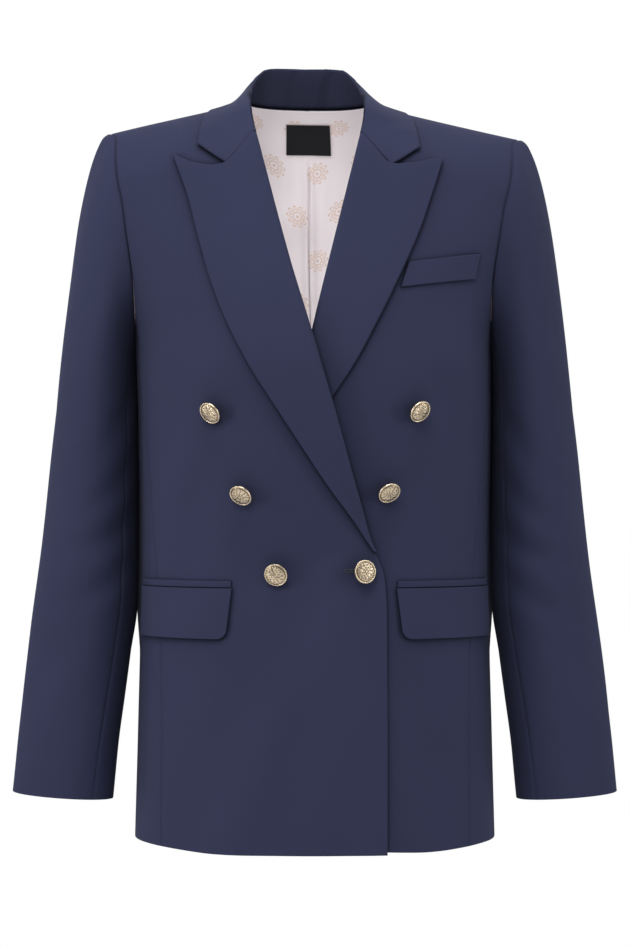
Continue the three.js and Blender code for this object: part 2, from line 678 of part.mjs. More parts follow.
// Pocket flap, with its front lower corner rounded
function addFlap(name, side, over) {
  const heights = [0, 0.3, 0.6, 0.82, 0.94, 1];
  const tall = FLAP.topZ - FLAP.bottomZ;
  const grid = heights.map((t) => {
    const z = lerp(FLAP.topZ, FLAP.bottomZ, t);
    const up = Math.max(FLAP.corner - (1 - t) * tall, 0);
    const inset = FLAP.corner - Math.sqrt(FLAP.corner ** 2 - up ** 2);
    const row = aroundBody(z, FLAP.frontX + inset, FLAP.length - inset, 10);
    return row.map((p) => lifted(withNormal(p), over));
  });
  addWall(`flap_${name}`, NAVY, grid, LAY_GAP, LAY_GAP + CLOTH, side);
}

function addJet(name, side, over) {
  const grid = [JET.topZ, JET.bottomZ].map((z) => aroundBody(z, JET.frontX, JET.length, 10)
    .map((p) => lifted(withNormal(p), over)));
  addWall(`jet_${name}`, NAVY, grid, LAY_GAP, LAY_GAP + 1, side);
}

// Breast pocket welt on the wearer's left
function addWelt() {
  const grid = steps(3).map((down) => steps(6).map((t) => {
    const front = WELT.frontX + WELT.frontLean * down;
    const x = lerp(front, WELT.backX + WELT.backLean * down, t);
    const z = lerp(WELT.frontZ, WELT.backZ, t) - WELT.height * down;
    return withNormal(bodyPoint(x, z, -1));
  }));
  addWall('breast_welt', NAVY, grid, LAY_GAP, LAY_GAP + 1.4, 1);
}

// A domed shank button, turned as one profile from the shank's foot to the crown
function buttonGeometry() {
  const profile = [
    [0, 0], [SHANK_R, 0], [SHANK_R, SHANK_LENGTH], [BUTTON_R - 1, SHANK_LENGTH],
    [BUTTON_R, SHANK_LENGTH + 0.8], [BUTTON_R - 0.4, SHANK_LENGTH + 2],
    [BUTTON_R - 2, SHANK_LENGTH + 2.2], [BUTTON_R * 0.5, SHANK_LENGTH + 3.5], [0, SHANK_LENGTH + 4],
  ];
  return new THREE.LatheGeometry(profile.map(([r, h]) => new THREE.Vector2(r, h)), BUTTON_SIDES);
}

function addButton(name, row) {
  const over = row.x < 0 || name === 'button_6';
  const own = row.x < 0 ? -row.x : row.x;
  const base = bodyPoint(own, row.z, -1);
  const normal = bodyNormal(base);
  const lift = over ? overLift(name === 'button_6' ? -own : own, row.z) : 0;
  base.addScaledVector(normal, lift + LAY_GAP / 2 + SHANK_R * Math.sin(radians(row.droop)));
  const side = row.x < 0 ? -1 : 1;
  base.x *= side;
  normal.x *= side;
  const place = settled(base);
  const down = vector(Math.sin(radians(row.turn)), 0, -Math.cos(radians(row.turn)));
  const lean = down.addScaledVector(normal, -down.dot(normal)).normalize();
  const axis = normal.clone().multiplyScalar(Math.cos(radians(row.droop)))
    .addScaledVector(lean, Math.sin(radians(row.droop)));
  const button = new THREE.Mesh(buttonGeometry(), BRASS);
  button.name = name;
  button.position.copy(place);
  button.quaternion.setFromUnitVectors(vector(0, 1, 0), axis);
  group.add(button);
}

// Bare neck label on the lining
function addLabel() {
  const away = -(CLOTH + LAY_GAP + LINING + LABEL.gap);
  const grid = steps(3).map((down) => steps(6).map((t) => {
    const x = lerp(-LABEL.width / 2, LABEL.width / 2, t);
    return withNormal(bodyPoint(x, lerp(LABEL.topZ, LABEL.bottomZ, down), 1));
  }));
  addWall('neck_label', LABEL_DARK, grid, away - 1, away);
}

for (const [name, side, over] of [['right', -1, true], ['left', 1, false]]) {
  addFront(`front_${name}`, side, over);
  addSide(`side_${name}`, side);
  addBack(`back_${name}`, side);
  addLining(`lining_back_${name}`, side);
  addLapel(`lapel_${name}`, side, over);
  addSleeve(name, side);
  addFlap(name, side, over);
  addJet(name, side, over);
}
addCollar('collar');
addWelt();
addLabel();
buttonRows.forEach((row, i) => addButton(`button_${i + 1}`, row));

export default group;
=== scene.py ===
# The looks of a double breasted blazer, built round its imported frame.
# Shapes are worked out in millimetres and turned into metres when a mesh is made.
import math

import bpy
import numpy as np
from mathutils import Matrix, Vector


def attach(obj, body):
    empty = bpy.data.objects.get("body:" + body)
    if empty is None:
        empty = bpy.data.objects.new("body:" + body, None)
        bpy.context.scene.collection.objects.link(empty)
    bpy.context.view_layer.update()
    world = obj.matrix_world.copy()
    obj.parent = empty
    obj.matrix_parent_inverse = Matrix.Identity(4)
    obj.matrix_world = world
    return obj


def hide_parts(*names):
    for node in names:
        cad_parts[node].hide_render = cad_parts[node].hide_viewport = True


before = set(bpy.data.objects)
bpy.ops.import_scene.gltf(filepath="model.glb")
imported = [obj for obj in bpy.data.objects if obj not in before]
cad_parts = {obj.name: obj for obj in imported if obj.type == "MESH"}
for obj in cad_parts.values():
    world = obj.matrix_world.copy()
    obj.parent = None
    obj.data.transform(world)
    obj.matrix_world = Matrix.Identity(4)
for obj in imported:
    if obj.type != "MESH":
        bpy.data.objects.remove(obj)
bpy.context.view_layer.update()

MM = 0.001
ROOT = "root"

# Sizes shared with the frame
HEM_Z = -714
NECK_SIDE_X = 64
SHOULDER_X = 197
SHOULDER_Z = -34
SHOULDER_SLOPE = -0.223
SHOULDER_LINE_AT_NECK = -3.7
NECK_DOME_HEIGHT = 30
NECK_DOME_HALF = 60
NECK_BLEND = 8
SIDE_POWER = 2.6
DEPTH_POWER = 2.2
FRONT_ROUND = 60
BACK_ROUND = 75
ARMHOLE_BOTTOM_Z = -237
ARMHOLE_FRONT = 62
ARMHOLE_BACK = 68
FRONT_SEAM_TURN = 138
BACK_SEAM_TURN = 228
LAP_END_X = 118
LAY_GAP = 0.85
LINING_AWAY = 2.85
SHOULDER_DROP = 3
SHOULDER_DROP_END_Z = -420
HEM_RISE = 4
HEM_RISE_FROM_Z = -610
BODY_REACH = 182
UNDER_HEM_SHORT = 3

# Thickness of the cloth as sewn
PANEL = 1.8
DOUBLED = 2.4
FACING = 0.8
LINING = 0.8

# Seams and edges
SEAM_DIP = 0.75
SEAM_WIDE = 2.6
BORDER_LINES = (0, 0.15, 0.4, 0.8, 1.5, 2.6, 4)
FACING_WIDE = 78
HEM_TURN_UP = 36
PANEL_STEP = 4
SEAM_TOP_Z = -205
NECK_SHARE = 6 / 11


def table(names, *rows):
    """Rows of a table, each a dict by column name."""
    keys = names.split()
    return [dict(zip(keys, row)) for row in rows]


body_rows = table(
    "z half front back",
    (40, 222, 52, 72),
    (0, 220, 60, 74),
    (-30, 217.5, 73, 78),
    (-60, 215, 88, 88),
    (-122, 205.5, 106, 103),
    (-178, 186, 120, 110),
    (-225, 173.7, 127.5, 110),
    (-260, 171.5, 130, 107),
    (-330, 170, 127, 101),
    (-420, 168.5, 120, 97),
    (-520, 169, 122, 105),
    (-600, 171, 126, 117),
    (-714, 174, 130, 123),
)

front_edge_rows = table(
    "z x",
    (0, 64),
    (-3, 59.5),
    (-10, 56),
    (-20, 53.6),
    (-38, 49),
    (-53.5, 44.9),
    (-161, 17.5),
    (-224, 0.4),
    (-290, -16.5),
    (-388, -42.5),
    (-421, -51),
    (-441, -59.4),
    (-455, -64),
    (-475, -66),
    (-500, -66.8),
    (-714, -66.8),
)

lap_rows = table(
    "z lift full",
    (-60, 0, 20),
    (-190, 6.4, 25),
    (-320, 6.4, 30),
    (-440, 3.4, 68),
    (-480, 4.4, 68),
    (-714, 4.4, 68),
)

seam_rows = table(
    "z front back",
    (-205, 168, 166.5),
    (-330, 160, 160),
    (-520, 146, 152),
    (-714, 145, 148),
)

lapel_rows = table(
    "roll_z over_x over_z under_x under_z",
    (-38, 129, -60, 125, -62.5),
    (-80, 114, -100, 113, -100),
    (-120, 104.6, -135, 101, -135),
    (-160, 92.7, -177, 82, -177),
    (-200, 78.7, -216, 62, -216),
    (-240, 59.8, -256, 39.4, -256),
    (-280, 36.4, -296, 11.5, -296),
    (-320, 11, -336, -15, -336),
    (-360, -15, -375, -40, -375),
    (-395, -36, -404, -52, -400),
    (-420, -46.3, -420, -56, -418),
    (-434, -53.6, -432, -60, -430),
)
GORGE_START = (48.8, -38)
over_top_rows = table(
    "t x z",
    (0, 48.8, -38),
    (0.5, 78, -70),
    (0.62, 90, -72.5),
    (0.74, 102.5, -71),
    (0.84, 112, -69),
    (0.92, 121, -65.5),
    (1, 129, -60),
)
under_top_rows = table(
    "t x z",
    (0, 48.8, -38),
    (0.5, 74.5, -67.5),
    (0.6, 83, -69),
    (0.76, 102, -67),
    (0.9, 115, -64),
    (1, 125, -62.5),
)
COLLAR_TIP = (104, -53)
COLLAR_NOTCH = (77, -70)
UNDER_LAPEL_TUCK = 22
UNDER_LAPEL_END_Z = -310
NOTCH_BEND_REACH = 70

collar_rows = table(
    "seam_x seam_z fold_x fold_y fold_z edge_x edge_y edge_z",
    (0, 0, 0, 63, 40, 0, 71, -15),
    (20, 0, 20, 61, 40, 26, 69, -18),
    (41, 0, 36, 53, 38, 52, 60, -22),
    (54, 0, 43.5, 37, 30.5, 76, 44, -22),
    (61, 0, 48, 18, 21.5, 86, 23, -16),
    (64, 0, 51, 0, 13, 91, 0, -14.5),
    (59, -3, 52.3, -20, 6, 96, -20, -18),
    (56, -10, 53.4, -38, -2.5, 100, -38, -23),
    (53.6, -20, 53.4, -55, -12.5, 101.5, -54, -33),
    (51, -30, 51.6, -68, -26, 102.2, -62, -43),
)
STAND_STEPS = (0, 0.45, 0.85)
FALL_STEPS = (0.1, 0.3, 0.45, 0.5, 0.55, 0.75, 1)
COLLAR_STATIONS = 18
COLLAR_SIDE_ORDER = 5
FOLD_ROUND = 3.2
COLLAR_AWAY = LAY_GAP + DOUBLED
COLLAR_EDGE_LIFT = 2.6
COLLAR_SAG = 1.5
COLLAR_EDGE_AWAY = 1.4
COLLAR_EDGE_THICK = 1.2
stand_wrinkles = table(
    "along lean wide deep",
    (0.455, 0.10, 0.010, 1.2),
    (0.515, 0.13, 0.007, -1.5),
    (0.540, 0.12, 0.008, 1.4),
    (0.575, 0.09, 0.010, -1.2),
)
ROLL_ROUND = ((3.8, -4.3), (1.1, -3.2), (0, -0.5), (1.1, 2.2))

sleeve_rows = table(
    "z out inner deep y",
    (-300, 250, 172.5, 60, 2),
    (-345, 255.5, 172.5, 57.5, 1),
    (-390, 260.4, 172.6, 54.5, 0),
    (-435, 265.4, 172.8, 51, -2),
    (-480, 270.6, 173, 47.5, -5.5),
    (-525, 275.5, 177.2, 44, -10.5),
    (-570, 280.8, 182.8, 41.5, -15.5),
    (-615, 285.6, 188.6, 39.5, -20),
    (-668.5, 290.6, 193.8, 38, -24),
)
CUFF_SLANT = 3.5
SLEEVE_TUCK = 0.9
HEAD_OUT = 17
UNDERARM_DOWN = 14
FOREARM_TURN = (146, 130)
HINDARM_TURN = (226, 236)

FLAP = {"top_z": -467, "bottom_z": -514.5, "front_x": 76, "length": 120, "corner": 8, "slant": 6}
JET = {"top_z": -460, "bottom_z": -466.5, "front_x": 77, "length": 118}
WELT = {
    "front_x": 92.5, "front_z": -161.2, "back_x": 158.7, "back_z": -150.8,
    "length": 66, "height": 24.6, "front_lean": -8.5, "back_lean": -4.8,
}
BUTTONHOLE = {"z": -450.5, "from_x": 28, "to_x": 46, "step": 0.75}
LABEL = {"width": 45, "top_z": -12, "bottom_z": -41, "gap": 2.1}

button_rows = table(
    "x z face_x face_z",
    (-92, -300, -0.53, -0.50),
    (93, -298, 0.53, -0.50),
    (-64.5, -375, -0.37, -0.60),
    (66, -373, 0.37, -0.60),
    (-34, -451, -0.22, -0.36),
    (42.5, -451.5, 0.46, 0.06),
)
BUTTON_R = 11
FACE_SHRINK = 0.955
ROSETTE = (
    (18, 7.4, 9.6, 0.0, 0.45),
    (10, 4.8, 8.4, 0.0, 0.62),
    (8, 3.0, 6.0, 0.39, 0.55),
    (6, 1.0, 3.8, 0.2, 0.5),
)
SHANK_LENGTH = 7
SHANK_R = 2.2

settle_rows = table(
    "z x",
    (40, -10),
    (20, -9.5),
    (-8, -7),
    (-54, -6),
    (-161, -5),
    (-224, -3),
    (-300, 0),
)

# Troughs and ridges of the body cloth: middle, half length, half width, lean and depth
front_creases = table(
    "x z long wide lean deep",
    (-128, -300, 70, 15, 14, -2.0),
    (-112, -410, 90, 20, 10, -2.0),
    (-104, -225, 60, 22, -30, -1.8),
    (-76, -600, 130, 24, 12, -5.5),
    (-118, -640, 90, 18, 3, -2.8),
    (-20, -610, 100, 24, 5, -3.6),
    (-20, -500, 60, 22, 24, -2.4),
    (-8, -446, 44, 11, 66, -1.4),
    (30, -650, 90, 22, -5, -2.0),
    (-40, -560, 50, 16, 40, -1.2),
    (128, -310, 70, 15, -12, -2.1),
    (116, -420, 80, 20, -12, -1.8),
    (112, -215, 60, 20, 28, -1.8),
    (108, -620, 110, 24, -8, -4.4),
    (84, -350, 70, 22, -24, -1.5),
)
back_creases = table(
    "x z long wide lean deep",
    (-122, -170, 90, 18, 16, -3.2),
    (-88, -330, 120, 24, 9, -2.4),
    (-40, -110, 70, 18, 72, -2.0),
    (-60, -520, 120, 28, 4, 2.2),
    (-112, -600, 100, 24, -3, -2.4),
    (14, -420, 100, 26, 3, -1.8),
    (-20, -300, 60, 18, 58, -1.6),
    (46, -126, 80, 18, -66, -1.8),
    (92, -300, 110, 22, -12, -2.8),
    (126, -180, 80, 18, -18, -2.8),
    (64, -560, 120, 28, -2, 2.0),
    (110, -620, 90, 22, 4, -2.2),
)

# Creases of one sleeve: turn round the arm in degrees, height, half length, half width, lean, depth
sleeve_creases = table(
    "turn z long wide lean deep",
    (128, -310, 44, 12, 30, -1.8),
    (118, -380, 40, 11, 50, -1.5),
    (122, -424, 42, 12, 62, -2.0),
    (112, -474, 40, 11, 56, -1.5),
    (74, -530, 60, 16, 30, -1.1),
    (60, -610, 60, 18, 14, 0.9),
    (66, -200, 60, 18, 20, -0.9),
    (28, -420, 90, 20, 12, -1.2),
    (254, -410, 44, 14, -56, -2.6),
    (264, -460, 46, 14, -48, -2.6),
    (244, -350, 50, 15, -30, -2.2),
    (300, -260, 70, 18, -18, -2.0),
    (330, -540, 80, 20, -10, -1.6),
    (212, -570, 60, 14, 20, -1.6),
)


# Smooth curves and small helpers

def smooth(t):
    t = np.clip(t, 0, 1)
    return t * t * (3 - 2 * t)


def lerp(a, b, t):
    return a + (b - a) * t


def column(rows, key, name):
    """A smooth curve through one column of a table, read against another column."""
    ordered = sorted(rows, key=lambda row: row[key])
    at = np.array([row[key] for row in ordered], float)
    value = np.array([row[name] for row in ordered], float)
    last = len(at) - 1
    low = np.maximum(np.arange(len(at)) - 1, 0)
    high = np.minimum(np.arange(len(at)) + 1, last)
    slope = (value[high] - value[low]) / (at[high] - at[low])

    def read(v):
        v = np.clip(v, at[0], at[-1])
        i = np.clip(np.searchsorted(at, v), 1, last)
        span = at[i] - at[i - 1]
        t = (v - at[i - 1]) / span
        rise = value[i] - value[i - 1]
        start = slope[i - 1] * span - rise
        end = rise - slope[i] * span
        return value[i - 1] + rise * t + t * (1 - t) * (start * (1 - t) + end * t)

    return read


def unit(v):
    return v / np.maximum(np.linalg.norm(v, axis=-1, keepdims=True), 1e-9)


def points(x, y, z):
    return np.stack(np.broadcast_arrays(x, y, z), axis=-1).astype(float)


def spread(length, step, first=True, last=True):
    """Shares of a length at an even step, closer near the borders named."""
    near = np.array(BORDER_LINES) / length
    count = max(int(round((length - 8) / step)), 2)
    middle = np.linspace(near[-1], 1 - near[-1], count + 1)[1:-1]
    start = near if first else np.array([0, near[-1]])
    end = 1 - (near if last else np.array([0, near[-1]]))[::-1]
    return np.concatenate([start, middle, end])


body_half = column(body_rows, "z", "half")
body_front = column(body_rows, "z", "front")
body_back = column(body_rows, "z", "back")
front_edge_x = column(front_edge_rows, "z", "x")
lap_lift = column(lap_rows, "z", "lift")
lap_full = column(lap_rows, "z", "full")
front_seam_x = column(seam_rows, "z", "front")
back_seam_x = column(seam_rows, "z", "back")
settle_x = column(settle_rows, "z", "x")
sleeve = {name: column(sleeve_rows, "z", name) for name in ("out", "inner", "deep", "y")}
RING_TOP_Z = sleeve_rows[0]["z"]
CUFF_Z = sleeve_rows[-1]["z"]


# The body's form

def ridge_z(x):
    line = SHOULDER_LINE_AT_NECK + SHOULDER_SLOPE * (np.abs(x) - 62)
    dome = NECK_DOME_HEIGHT * (1 - (x / NECK_DOME_HALF) ** 2)
    return (line + dome + np.hypot(line - dome, NECK_BLEND)) / 2


def depth_at(z, face):
    return np.where(np.asarray(face) < 0, body_front(z), body_back(z))


def depth_share(x, z):
    share = np.minimum(np.abs(x) / body_half(z), 1)
    return (1 - share ** SIDE_POWER) ** (1 / DEPTH_POWER)


def body_point(x, z, face):
    """A point on the body's outer face; face is -1 for the front and 1 for the back."""
    rounding = np.where(np.asarray(face) < 0, FRONT_ROUND, BACK_ROUND)
    fall = np.clip((ridge_z(x) - z) / rounding, 0, 1)
    y = face * depth_at(z, face) * depth_share(x, z) * np.sqrt(1 - (1 - fall) ** 2)
    return points(x, y, z)


def body_field(x, y, z):
    face = np.where(y < 0, -1, 1)
    rounding = np.where(face < 0, FRONT_ROUND, BACK_ROUND)
    fall = (ridge_z(x) - z) / rounding
    deep = np.abs(y) / depth_at(z, face)
    low = deep ** DEPTH_POWER + (np.abs(x) / body_half(z)) ** SIDE_POWER - 1
    share = np.maximum(depth_share(x, z), 0.05)
    high = (deep / share) ** 2 + (1 - fall) ** 2 - 1
    return np.where(fall >= 1, low, high)


def body_slope(p):
    x, y, z = p[..., 0], p[..., 1], p[..., 2]
    d = 0.02
    dx = body_field(x + d, y, z) - body_field(x - d, y, z)
    dz = body_field(x, y, z + d) - body_field(x, y, z - d)
    dy = np.where(np.abs(y) < 0.05, 0, body_field(x, y + d, z) - body_field(x, y - d, z))
    return points(dx, dy, dz) / (2 * d)


def body_normal(p):
    return unit(body_slope(p))


def stand_off(p, distance, only_out):
    """Moves points along the slope until they stand this far off the body."""
    moved = p.copy()
    for _ in range(6):
        slope = body_slope(moved)
        length = np.linalg.norm(slope, axis=-1)
        away = body_field(moved[..., 0], moved[..., 1], moved[..., 2]) / length
        step = (distance - away) * 0.8
        if only_out:
            step = np.where(away >= distance, 0, step)
        moved += unit(slope) * step[..., None]
    return moved


def around_point(turn, z):
    face = np.where(turn < 0, -1, 1)
    x = body_half(z) * np.abs(np.cos(turn)) ** (2 / SIDE_POWER)
    y = face * depth_at(z, face) * np.abs(np.sin(turn)) ** (2 / DEPTH_POWER)
    return points(x, y, z)


def turn_at(x, z, face):
    return face * np.arccos(np.minimum((x / body_half(z)) ** (SIDE_POWER / 2), 1))


def armhole_point(degrees):
    """Armhole edge: 0 at the shoulder, 90 in front, 180 below, 270 behind."""
    degrees = np.atleast_1d(np.asarray(degrees, float))
    turn = np.radians(degrees)
    middle = (SHOULDER_Z + ARMHOLE_BOTTOM_Z) / 2
    z = middle + (SHOULDER_Z - middle) * np.cos(turn)
    front = degrees <= 180
    y = -np.where(front, ARMHOLE_FRONT, ARMHOLE_BACK) * np.sin(turn)
    face = np.where(front, -1, 1)
    low = np.full(z.shape, 100.0)
    high = np.full(z.shape, 215.0)
    for _ in range(40):
        x = (low + high) / 2
        inside = np.abs(body_point(x, z, face)[..., 1]) > np.abs(y)
        low = np.where(inside, x, low)
        high = np.where(inside, high, x)
    at_top = (np.abs(y) < 0.01) & (z > -100)
    return points(
        np.where(at_top, SHOULDER_X, low),
        np.where(at_top, 0, y),
        np.where(at_top, ridge_z(SHOULDER_X), z),
    )


def settled(p):
    """The garment's lean on whoever wears it, given to every point last."""
    x, y, z = p[..., 0], p[..., 1], p[..., 2]
    to_shoulder = (np.minimum(np.abs(x), SHOULDER_X) / SHOULDER_X) ** 4
    drop = smooth((z - SHOULDER_DROP_END_Z) / -SHOULDER_DROP_END_Z)
    across = np.clip(x / SHOULDER_X, -1, 1)
    to_side = smooth((np.abs(x) - 95) / 75) * (np.abs(x) < BODY_REACH)
    hem_up = HEM_RISE * to_side * smooth((HEM_RISE_FROM_Z - z) / (HEM_RISE_FROM_Z - HEM_Z))
    moved_x = x + settle_x(z) * (1 - to_shoulder)
    return points(moved_x, y, z - SHOULDER_DROP * across * drop + hem_up)


def creased(rows, a, b, names=("x", "z")):
    """Height of listed creases over a plane, each a trough with a small ridge beside it."""
    total = np.zeros(np.broadcast(a, b).shape)
    for row in rows:
        lean = math.radians(row["lean"])
        da = a - row[names[0]]
        db = b - row[names[1]]
        along = db * math.cos(lean) + da * math.sin(lean)
        across = da * math.cos(lean) - db * math.sin(lean)
        across = across + 0.12 * along ** 2 / row["long"]
        fade = np.exp(-((along / row["long"]) ** 2))
        trough = np.exp(-((across / row["wide"]) ** 2))
        ridge = np.exp(-((across / row["wide"] - 1.7) ** 2))
        total += row["deep"] * fade * (trough - 0.45 * ridge)
    return total


def uneven(a, b, size):
    """A slow wave with no repeat that the eye can find."""
    return size * (
        np.sin(a / 31 + 1.3 * np.sin(b / 47))
        + np.sin(b / 39 + 2.1 + 1.1 * np.sin(a / 53))
        + 0.6 * np.sin((a + b) / 23 + 0.7)
    ) / 2.6


armhole_rims = {
    -1: armhole_point(np.linspace(0, 180, 60)),
    1: armhole_point(np.linspace(180, 360, 60)),
}


def armhole_distance(x, z, face):
    """How far a place lies from the armhole, seen from the front."""
    rim = armhole_rims[face]
    x = np.abs(np.asarray(x, float))[..., None]
    z = np.asarray(z, float)[..., None]
    return np.min(np.hypot(x - rim[:, 0], z - rim[:, 2]), axis=-1)


def body_relief(x, z, face):
    """Creases of the front or back at a real place, x being negative on the wearer's right."""
    rows = front_creases if face < 0 else back_creases
    quiet = smooth((ridge_z(x) - z) / 60) * smooth((armhole_distance(x, z, face) - 3) / 28)
    return (creased(rows, x, z) + uneven(x, z, 0.5)) * quiet


def arm_gap(z):
    """Room between sleeve and side at this height, down to where they part."""
    room = sleeve["inner"](np.maximum(z, -485)) - body_half(z)
    return np.clip(room, 0, 6) * smooth((z + 545) / 55) * smooth((-225 - z) / 40)


def over_lift(x, z):
    reach = (LAP_END_X - x) / (LAP_END_X - lap_full(z))
    return lap_lift(z) * smooth(reach)


# Meshes

def grid_normals(grid):
    down = np.gradient(grid, axis=0)
    across = np.gradient(grid, axis=1)
    return unit(np.cross(across, down))


def lengths(grid, axis):
    step = np.linalg.norm(np.diff(grid, axis=axis), axis=-1)
    start = np.zeros_like(np.take(step, [0], axis=axis))
    return np.concatenate([start, np.cumsum(step, axis=axis)], axis=axis)


def border_distances(grid):
    """Distance of each point from the first and last row and the first and last column."""
    down = lengths(grid, 0)
    across = lengths(grid, 1)
    return {
        "top": down,
        "bottom": down[-1:] - down,
        "start": across,
        "end": across[:, -1:] - across,
    }


def add_object(name, data):
    made = bpy.data.objects.new(name, data)
    bpy.context.scene.collection.objects.link(made)
    return made


def smooth_mesh(name, vertices, faces, material):
    """A smooth shaded mesh from points in millimetres."""
    mesh = bpy.data.meshes.new(name)
    mesh.from_pydata((vertices * MM).tolist(), [], faces)
    mesh.polygons.foreach_set("use_smooth", np.ones(len(mesh.polygons), dtype=bool))
    mesh.materials.append(material)
    return mesh


def make_mesh(name, vertices, quads, uv, material_of, materials):
    """A mesh object from points in millimetres, its quads facing outwards."""
    placed = settled(vertices) * MM
    a, b, c, d = (placed[quads[:, k]] for k in range(4))
    volume = np.einsum("ij,ij->", a, np.cross(b, c)) + np.einsum("ij,ij->", a, np.cross(c, d))
    if volume < 0:
        quads = quads[:, ::-1]
    mesh = bpy.data.meshes.new(name)
    mesh.vertices.add(len(placed))
    mesh.vertices.foreach_set("co", placed.ravel())
    mesh.loops.add(quads.size)
    mesh.loops.foreach_set("vertex_index", quads.ravel().astype(np.int32))
    mesh.polygons.add(len(quads))
    mesh.polygons.foreach_set("loop_start", np.arange(0, quads.size, 4, dtype=np.int32))
    mesh.polygons.foreach_set("material_index", material_of.astype(np.int32))
    mesh.update(calc_edges=True)
    mesh.validate()
    mesh.uv_layers.new(name="UVMap")
    mesh.uv_layers[0].data.foreach_set("uv", (uv[quads.ravel()] * MM).ravel())
    mesh.polygons.foreach_set("use_smooth", np.ones(len(quads), dtype=bool))
    for material in materials:
        mesh.materials.append(material)
    piece = add_object(name, mesh)
    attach(piece, ROOT)
    return piece


def add_cloth(name, middle, thick, free, seams, materials, inner=None, side=1, out_sign=1):
    """A closed thin sheet over its middle surface, with round free edges and dipped seams.

    inner says, for each point, whether its inner side shows the second material."""
    out = grid_normals(middle) * out_sign
    far = border_distances(middle)
    half = np.broadcast_to(np.asarray(thick, float) / 2, middle.shape[:2])
    pinch = np.zeros(middle.shape[:2])
    for border in free:
        reach = np.clip(far[border] / half, 0, 1)
        pinch = np.maximum(pinch, half * (1 - np.sqrt(1 - (1 - reach) ** 2)))
    pinch = np.minimum(pinch, half * 0.97)
    dip = np.zeros(middle.shape[:2])
    for border in seams:
        dip = np.maximum(dip, SEAM_DIP * (1 - smooth(far[border] / SEAM_WIDE)))
    outer = middle + out * (half - pinch - dip)[..., None]
    under = middle - out * (half - pinch)[..., None]
    rows, columns = middle.shape[:2]
    index = np.arange(rows * columns).reshape(rows, columns)
    below = index + rows * columns
    top = np.stack([index[:-1, :-1], index[:-1, 1:], index[1:, 1:], index[1:, :-1]], -1)
    low = np.stack([below[:-1, :-1], below[1:, :-1], below[1:, 1:], below[:-1, 1:]], -1)
    ring = np.concatenate([index[0, :-1], index[:-1, -1], index[-1, :0:-1], index[:0:-1, 0]])
    after = np.roll(ring, -1)
    rim = np.stack([ring, ring + rows * columns, after + rows * columns, after], -1)
    quads = np.concatenate([top.reshape(-1, 4), low.reshape(-1, 4), rim])
    uv = np.stack([far["start"] * side, -far["top"]], -1).reshape(-1, 2)
    material_of = np.zeros(len(quads))
    if inner is not None:
        inner = inner & (np.minimum.reduce(list(far.values())) > 9)
        shows = inner[:-1, :-1] & inner[1:, 1:]
        material_of[len(top.reshape(-1, 4)):-len(rim)] = shows.reshape(-1)
    vertices = np.concatenate([outer.reshape(-1, 3), under.reshape(-1, 3)])
    vertices[:, 0] *= side
    return make_mesh(name, vertices, quads, np.concatenate([uv, uv]), material_of, materials)


def finish_cloth(node):
    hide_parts(node)


# Materials

class Graph:
    """A material's nodes, made and linked in short calls."""

    def __init__(self, name):
        self.material = bpy.data.materials.new(name)
        self.material.use_nodes = True
        self.tree = self.material.node_tree
        self.shader = self.tree.nodes["Principled BSDF"]

    def node(self, kind, inputs=(), output=0, **settings):
        made = self.tree.nodes.new(kind)
        for key, value in settings.items():
            setattr(made, key, value)
        for key, value in dict(inputs).items():
            self.put(made.inputs[key], value)
        return made.outputs[output]

    def put(self, socket, value):
        if isinstance(value, bpy.types.NodeSocket):
            self.tree.links.new(value, socket)
        else:
            socket.default_value = value

    def math(self, operation, *values):
        return self.node(
            "ShaderNodeMath", {i: v for i, v in enumerate(values)}, operation=operation
        )

    def mix(self, share, a, b):
        made = self.tree.nodes.new("ShaderNodeMix")
        made.data_type = "RGBA"
        self.put(made.inputs[0], share)
        self.put(made.inputs[6], a)
        self.put(made.inputs[7], b)
        return made.outputs[2]

    def noise(self, scale, detail, where):
        return self.node(
            "ShaderNodeTexNoise", {"Scale": scale, "Detail": detail, "Vector": where}
        )

    def place(self):
        return self.node("ShaderNodeTexCoord", output=3)

    def uv(self):
        where = self.node("ShaderNodeUVMap")
        u = self.node("ShaderNodeSeparateXYZ", {0: where}, 0)
        v = self.node("ShaderNodeSeparateXYZ", {0: where}, 1)
        return u, v

    def set(self, **values):
        for key, value in values.items():
            self.put(self.shader.inputs[key.replace("_", " ")], value)

    def bump(self, height, distance):
        made = self.node(
            "ShaderNodeBump", {"Height": height, "Distance": distance, "Strength": 1.0}
        )
        self.put(self.shader.inputs["Normal"], made)


def srgb(red, green, blue):
    """A colour given in screen values from 0 to 255."""
    linear = [
        c / 12.92 if c <= 0.04045 else ((c + 0.055) / 1.055) ** 2.4
        for c in (red / 255, green / 255, blue / 255)
    ]
    return (*linear, 1)


